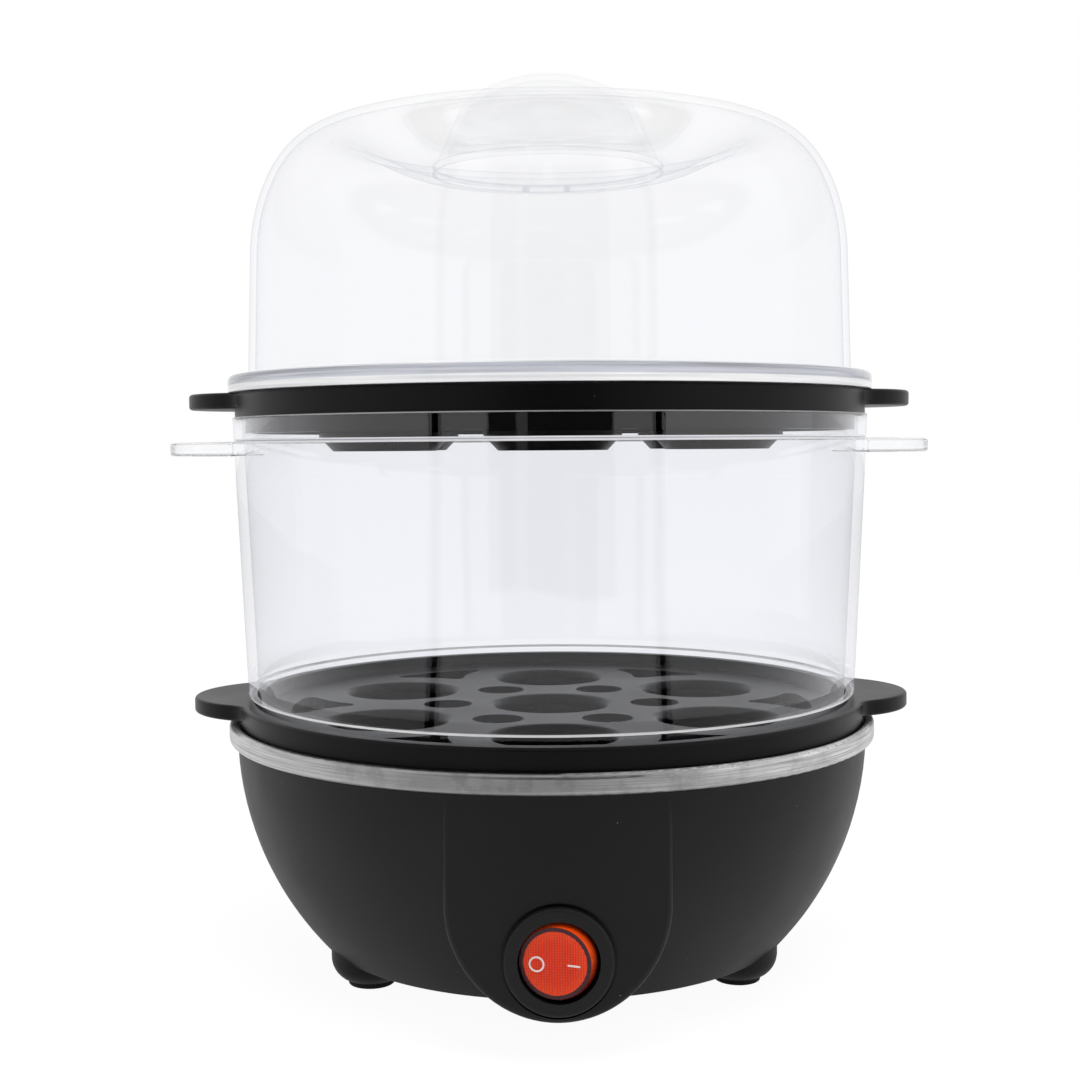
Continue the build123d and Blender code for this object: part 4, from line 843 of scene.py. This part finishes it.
class STEAMER_OT_stage(bpy.types.Operator):
    """Set up the camera, the floor, the lamp and the cards round the steamer"""
    bl_idname = "steamer.stage"
    bl_label = "Stage"

    def execute(self, context):
        settings = context.scene.steamer.stage
        place_camera(settings)
        lay_floor(settings)
        fill_world(settings)
        hang_lamp(settings)
        for name, start, end, brightness in CARDS:
            stand_card(settings, name, start, end, brightness)
        context.scene.view_settings.view_transform = "Standard"
        context.scene.cycles.transparent_max_bounces = CLEAR_LAYERS
        return {"FINISHED"}


# ---- Forms ----
# Roundings of the lid's edges.
KNOB_SHOULDER = 0.003
KNOB_FOOT = 0.0012
FLANGE_ROOT = 0.0008
FLANGE_TOP = 0.0014
FLANGE_UNDERSIDE = 0.00015
SKIRT_ROOT = 0.0003
SKIRT_END = 0.0005
WALL_ROOT = 0.0004
# Flange's underside above the end of the skirt that locates the lid in the tray.
SKIRT_DEPTH = 0.0026
# The knob's crown stops this far short of its side, where the rounding takes over.
CROWN_MARGIN = 0.0012
# Lengths of the drills, longer than what they go through.
HOLE_DRILL = 0.012
MARK_DRILL = 0.002
SEAM = 0.000005


def rounded(corners):
    """Outline through corners given as (radius, height, rounding), its two ends left sharp."""
    points = []
    for k, (across, up, size) in enumerate(corners):
        corner = Vector((across, up))
        if size == 0.0 or k in (0, len(corners) - 1):
            points.append(corner)
            continue
        back = (Vector(corners[k - 1][:2]) - corner).normalized()
        on = (Vector(corners[k + 1][:2]) - corner).normalized()
        half = back.angle(on) / 2
        centre = corner + (back + on).normalized() * size / sin(half)
        first = corner + back * size / tan(half) - centre
        last = corner + on * size / tan(half) - centre
        for step in range(CORNER_STEPS + 1):
            way = first.lerp(last, step / CORNER_STEPS).normalized()
            points.append(centre + way * size)
    return points


def inset(points, wall):
    """Same line moved inwards by a wall, its first point kept on the axis."""
    moved = []
    for k, point in enumerate(points):
        run = points[min(k + 1, len(points) - 1)] - points[max(k - 1, 0)]
        outward = Vector((-run.y, run.x)).normalized()
        moved.append(point - outward * wall)
    moved[0] = Vector((0.0, points[0].y - wall))
    return moved


def spun(name, outline):
    """Piece turned about the axis from an outline of (radius, height) that ends on the axis."""
    runs = [after - before for before, after in zip(outline, outline[1:])]
    piece = swept(name, (outline[0].x, 0.0, outline[0].y),
                  [(run.x, 0.0, run.y) for run in runs], TURN_STEPS, 2 * pi)
    bpy.ops.object.mode_set(mode="EDIT")
    bpy.ops.mesh.select_all(action="SELECT")
    bpy.ops.mesh.remove_doubles(threshold=SEAM)
    bpy.ops.mesh.normals_make_consistent(inside=False)
    bpy.ops.object.mode_set(mode="OBJECT")
    return piece


def join_to(piece, other):
    """Join another piece to the first one."""
    clear_selection()
    other.select_set(True)
    piece.select_set(True)
    bpy.context.view_layer.objects.active = piece
    bpy.ops.object.join()


def drilled(piece, drill):
    """Cut one piece out of another and remove it."""
    clear_selection()
    piece.select_set(True)
    bpy.context.view_layer.objects.active = piece
    bpy.ops.object.modifier_add(type="BOOLEAN")
    cut = piece.modifiers[-1]
    cut.operation = "DIFFERENCE"
    cut.solver = "EXACT"
    cut.object = drill
    bpy.ops.object.modifier_apply(modifier=cut.name)
    bpy.data.objects.remove(drill, do_unlink=True)


def dome_line(lid, top, foot):
    """Outside of the lid from the middle of its crown down to its flange."""
    crest = foot + lid.crest_rise
    floor = top - lid.knob_rise
    centre = top - lid.crown
    line = []
    for step in range(CROWN_STEPS + 1):
        across = step / CROWN_STEPS * (lid.knob_top - CROWN_MARGIN)
        line.append(Vector((across, centre + (lid.crown ** 2 - across ** 2) ** 0.5)))
    edge = centre + (lid.crown ** 2 - lid.knob_top ** 2) ** 0.5
    line += rounded([(*line[-1], 0.0), (lid.knob_top, edge, KNOB_SHOULDER),
                     (lid.knob_base, floor, KNOB_FOOT), (lid.sunk_radius, floor, 0.0)])[1:]
    for step in range(1, FLANK_STEPS + 1):
        share = step / FLANK_STEPS
        across = lid.sunk_radius + share * (lid.crest_radius - lid.sunk_radius)
        line.append(Vector((across, floor + share * share * (3 - 2 * share) * (crest - floor))))
    start = foot + lid.shoulder_rise
    reach = lid.wall_radius - lid.shoulder_rise * sin(lid.draft) - lid.crest_radius
    for step in range(1, SHOULDER_STEPS + 1):
        angle = step / SHOULDER_STEPS * pi / 2
        line.append(Vector((lid.crest_radius + reach * sin(angle),
                            start + (crest - start) * cos(angle))))
    return line


def flange_heights(lid):
    """Underside and top of the lid's flange."""
    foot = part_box("dome_lid")[0].z + SKIRT_DEPTH
    return foot, foot + lid.flange


def model_lid(lid):
    """Clear lid with its hollow knob, flange, locating skirt and steam holes."""
    low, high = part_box("dome_lid")
    foot, top = flange_heights(lid)
    outside = dome_line(lid, high.z, foot)
    wall = lid.wall_radius - lid.flange * tan(lid.draft)
    skirt = lid.locating_radius
    inner = skirt - lid.wall
    edge = rounded([
        (*outside[-1], 0.0),
        (wall, top, FLANGE_ROOT), (high.x, top, FLANGE_TOP), (high.x, foot, FLANGE_UNDERSIDE),
        (skirt, foot, SKIRT_ROOT), (skirt, low.z, SKIRT_END), (inner, low.z, SKIRT_END),
        (inner, foot, SKIRT_ROOT), (wall - lid.wall, foot + lid.wall, WALL_ROOT),
        (outside[-1].x - lid.wall, outside[-1].y, 0.0),
    ])
    inside = inset(outside, lid.wall)
    piece = spun("clear_lid", outside + edge[1:-1] + inside[::-1])
    floor = high.z - lid.knob_rise
    for side in (-1, 1):
        clear_selection()
        angle = pi + side * lid.hole_angle
        bpy.ops.mesh.primitive_cylinder_add(
            vertices=HOLE_SIDES, radius=lid.hole, depth=HOLE_DRILL,
            location=(lid.sunk_radius * sin(angle), -lid.sunk_radius * cos(angle), floor))
        drilled(piece, bpy.context.object)
    bpy.ops.object.shade_smooth_by_angle(angle=radians(40.0))
    return piece


def upright_disc(place, radius, depth):
    """Disc that looks along -Y."""
    clear_selection()
    bpy.ops.mesh.primitive_cylinder_add(vertices=MARK_SIDES, radius=radius, depth=depth,
                                        location=place, rotation=(pi / 2, 0.0, 0.0))
    return bpy.context.object


def model_marks(rocker):
    """Generic off and on marks, printed thinly on the rocker's face."""
    left, right = (Vector((side * rocker.mark_place, -rocker.face, -rocker.mark_drop))
                   for side in (-1, 1))
    marks = upright_disc(left, rocker.mark_radius, rocker.mark_depth)
    drilled(marks, upright_disc(left, rocker.mark_radius - rocker.mark_line, MARK_DRILL))
    clear_selection()
    bpy.ops.mesh.primitive_cube_add(size=1.0, location=right,
                                    rotation=(0.0, rocker.mark_tilt, 0.0),
                                    scale=(rocker.mark_bar, rocker.mark_depth, rocker.mark_line))
    join_to(marks, bpy.context.object)
    bpy.ops.transform.rotate(value=-rocker.turn, orient_axis="Z", orient_type="GLOBAL",
                             center_override=(0.0, 0.0, 0.0))
    bpy.ops.transform.translate(value=rocker.pivot)
    bpy.ops.object.transform_apply(location=True, rotation=True, scale=True)
    marks.name = "rocker_marks_print"
    return marks


# ---- Pieces ----
# Polished stretch of the trays' skirts: largest radius, low and high edge below the rim's top.
SKIRT_RADIUS = 0.0768
SKIRT_LOW = 0.0098
SKIRT_HIGH = 0.0059
# Ring: step above its foot, collar's foot below its top, and the least radius of each part.
RING_STEP = 0.005
RING_COLLAR = 0.0055
RING_WALL = 0.07
STEP_RADIUS = 0.0745
EAR_RADIUS = 0.0783
EAR_DEPTH = 0.0042
# Lid: least radius of the flange, its lowest painted band's height, and the painted shade line at
# the fold beyond the knob's foot.
FLANGE_RADIUS = 0.0752
FLANGE_BAND = 0.0016
FOLD_OFFSET = 0.0003


class STEAMER_OT_base(bpy.types.Operator):
    """Finish the housing, its cover, the feet's pads, the gland and the seal"""
    bl_idname = "steamer.base"
    bl_label = "Base"

    def execute(self, context):
        black = context.scene.steamer.black
        dress(black_finish("Housing black", black), "base_housing", "bottom_cover")
        dress(soft_finish("Foot rubber"), "front_left_foot_pad", "front_right_foot_pad",
              "rear_foot_pad", "cord_gland")
        dress(soft_finish("Seal silicone"), "dish_seal")
        return {"FINISHED"}


class STEAMER_OT_dish(bpy.types.Operator):
    """Finish the stainless water dish"""
    bl_idname = "steamer.dish"
    bl_label = "Water Dish"

    def execute(self, context):
        dress(steel_finish(context.scene.steamer.steel), "water_dish")
        return {"FINISHED"}


class STEAMER_OT_trays(bpy.types.Operator):
    """Finish the two egg trays, glossier than the base and polished on their skirts"""
    bl_idname = "steamer.trays"
    bl_label = "Egg Trays"

    def execute(self, context):
        for tier in ("lower", "upper"):
            node = tier + "_egg_tray"
            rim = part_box(node)[1].z
            dress(black_finish(
                "Tray black " + tier, context.scene.steamer.black, lift=0.8, rough=-0.1,
                gloss=0.13, grain=0.3,
                polished=(SKIRT_RADIUS, rim - SKIRT_LOW, rim - SKIRT_HIGH)), node)
        return {"FINISHED"}


class STEAMER_OT_ring(bpy.types.Operator):
    """Finish the clear ring, whose ears bend light and whose edges scatter it, with painted
    highlights and painted shade
    """
    bl_idname = "steamer.ring"
    bl_label = "Clear Ring"

    def execute(self, context):
        low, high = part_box("steam_ring")
        step = low.z + RING_STEP
        collar = high.z - RING_COLLAR
        ears = (EAR_RADIUS, collar - EAR_DEPTH, collar + 0.0002)
        # Painted highlights and painted shade along the edges: the collar's white line, the lilac
        # one in it, the top edge and the step's edge.
        painted_edge_bands = [
            (RING_WALL, collar - 0.0006, collar + 0.0003, (0.95, 0.95, 0.97), 0.85),
            (RING_WALL, collar - 0.00015, collar, (0.45, 0.46, 0.54), 0.9),
            (RING_WALL, high.z - 0.0002, high.z + 0.0002, (0.3, 0.3, 0.31), 0.9),
            (STEP_RADIUS, step - 0.0001, step + 0.0005, (0.96, 0.96, 0.97), 0.8),
        ]
        dress(clear_finish("Clear ring", context.scene.steamer.clear, tint=1.05, gloss=1.1,
                           collar=collar, solid=[ears], painted_edge_bands=painted_edge_bands), "steam_ring")
        return {"FINISHED"}


class STEAMER_OT_lid(bpy.types.Operator):
    """Model the clear lid with its rounded edges and finish it"""
    bl_idname = "steamer.lid"
    bl_label = "Clear Lid"

    def execute(self, context):
        settings = context.scene.steamer
        piece = model_lid(settings.lid)
        foot, top = flange_heights(settings.lid)
        middle = foot + FLANGE_BAND
        # Painted highlights and painted shade on the flange: its white lower edge, the lilac band
        # over it and its pale top.
        painted_edge_bands = [
            (FLANGE_RADIUS, foot - 0.0002, middle, (0.93, 0.935, 0.96), 0.85),
            (FLANGE_RADIUS, middle + 0.0001, top - 0.0004, (0.5, 0.51, 0.57), 0.7),
            (FLANGE_RADIUS, top - 0.0003, top + 0.0002, (0.75, 0.76, 0.8), 0.85),
        ]
        piece.data.materials.append(clear_finish(
            "Clear lid", settings.clear, tint=0.5, gloss=0.6,
            line=settings.lid.knob_base + FOLD_OFFSET, painted_edge_bands=painted_edge_bands))
        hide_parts("dome_lid")
        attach(piece, "lid")
        return {"FINISHED"}


class STEAMER_OT_switch(bpy.types.Operator):
    """Finish the rocker switch and print its marks"""
    bl_idname = "steamer.switch"
    bl_label = "Switch"

    def execute(self, context):
        settings = context.scene.steamer
        dress(black_finish("Switch black", settings.black, lift=2.2, rough=0.06), "switch_body")
        dress(rocker_finish(settings.rocker), "switch_rocker")
        marks = model_marks(settings.rocker)
        marks.data.materials.append(soft_finish("Mark white"))
        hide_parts("rocker_marks")
        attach(marks, "rocker")
        dress(metal_finish("Brass"), "switch_tabs", "switch_plunger", "switch_contact_lever",
              "thermostat_tabs", "earth_tag", "terminal_screws")
        dress(soft_finish("Lamp glass"), "indicator_lamp")
        return {"FINISHED"}


class STEAMER_OT_heater(bpy.types.Operator):
    """Finish the heater, the thermostat, the fuse and the fasteners"""
    bl_idname = "steamer.heater"
    bl_label = "Heater and Fasteners"

    def execute(self, context):
        dress(metal_finish("Cast aluminium"), "heat_spreader", "thermostat_cup", "thermal_fuse")
        dress(metal_finish("Zinc plate"), "heating_element", "element_tabs",
              "thermostat_bracket", "bracket_screws", "fuse_clip", "fuse_screw", "dish_bushes",
              "dish_screws", "cover_screws", "switch_spring")
        dress(soft_finish("Ceramic"), "element_beads")
        dress(soft_finish("Phenolic"), "thermostat_base")
        dress(soft_finish("Terminal white"), "terminal_block")
        return {"FINISHED"}


class STEAMER_OT_leads(bpy.types.Operator):
    """Finish the insulated leads"""
    bl_idname = "steamer.leads"
    bl_label = "Leads"

    def execute(self, context):
        dress(soft_finish("Lead brown"), "live_lead", "switched_lead", "fuse_lead", "heater_lead")
        dress(soft_finish("Lead blue"), "neutral_lead")
        dress(soft_finish("Lead green"), "earth_lead")
        return {"FINISHED"}


STEPS = [STEAMER_OT_stage, STEAMER_OT_base, STEAMER_OT_dish, STEAMER_OT_trays, STEAMER_OT_ring,
         STEAMER_OT_lid, STEAMER_OT_switch, STEAMER_OT_heater, STEAMER_OT_leads]


class STEAMER_PT_panel(bpy.types.Panel):
    """Lists the steps that dress the steamer"""
    bl_idname = "STEAMER_PT_panel"
    bl_label = "Egg Steamer"
    bl_space_type = "VIEW_3D"
    bl_region_type = "UI"
    bl_category = "Steamer"

    def draw(self, context):
        for step in STEPS:
            self.layout.operator(step.bl_idname)
        settings = context.scene.steamer
        for group in (settings.stage, settings.black, settings.clear, settings.lid,
                      settings.steel, settings.rocker):
            box = self.layout.box()
            for name in group.bl_rna.properties.keys():
                if name not in ("rna_type", "name"):
                    box.prop(group, name)


CLASSES = [StageSettings, BlackSettings, ClearSettings, LidSettings, SteelSettings,
           RockerSettings, SteamerSettings, *STEPS, STEAMER_PT_panel]


def register():
    """Add the steamer's settings, steps and panel to Blender."""
    for each in CLASSES:
        bpy.utils.register_class(each)
    bpy.types.Scene.steamer = PointerProperty(type=SteamerSettings)


def unregister():
    """Take them away again."""
    del bpy.types.Scene.steamer
    for each in reversed(CLASSES):
        bpy.utils.unregister_class(each)


def main():
    """Dress the steamer step by step."""
    register()
    for step in STEPS:
        group, name = step.bl_idname.split(".")
        getattr(getattr(bpy.ops, group), name)()


if __name__ == "__main__":
    main()
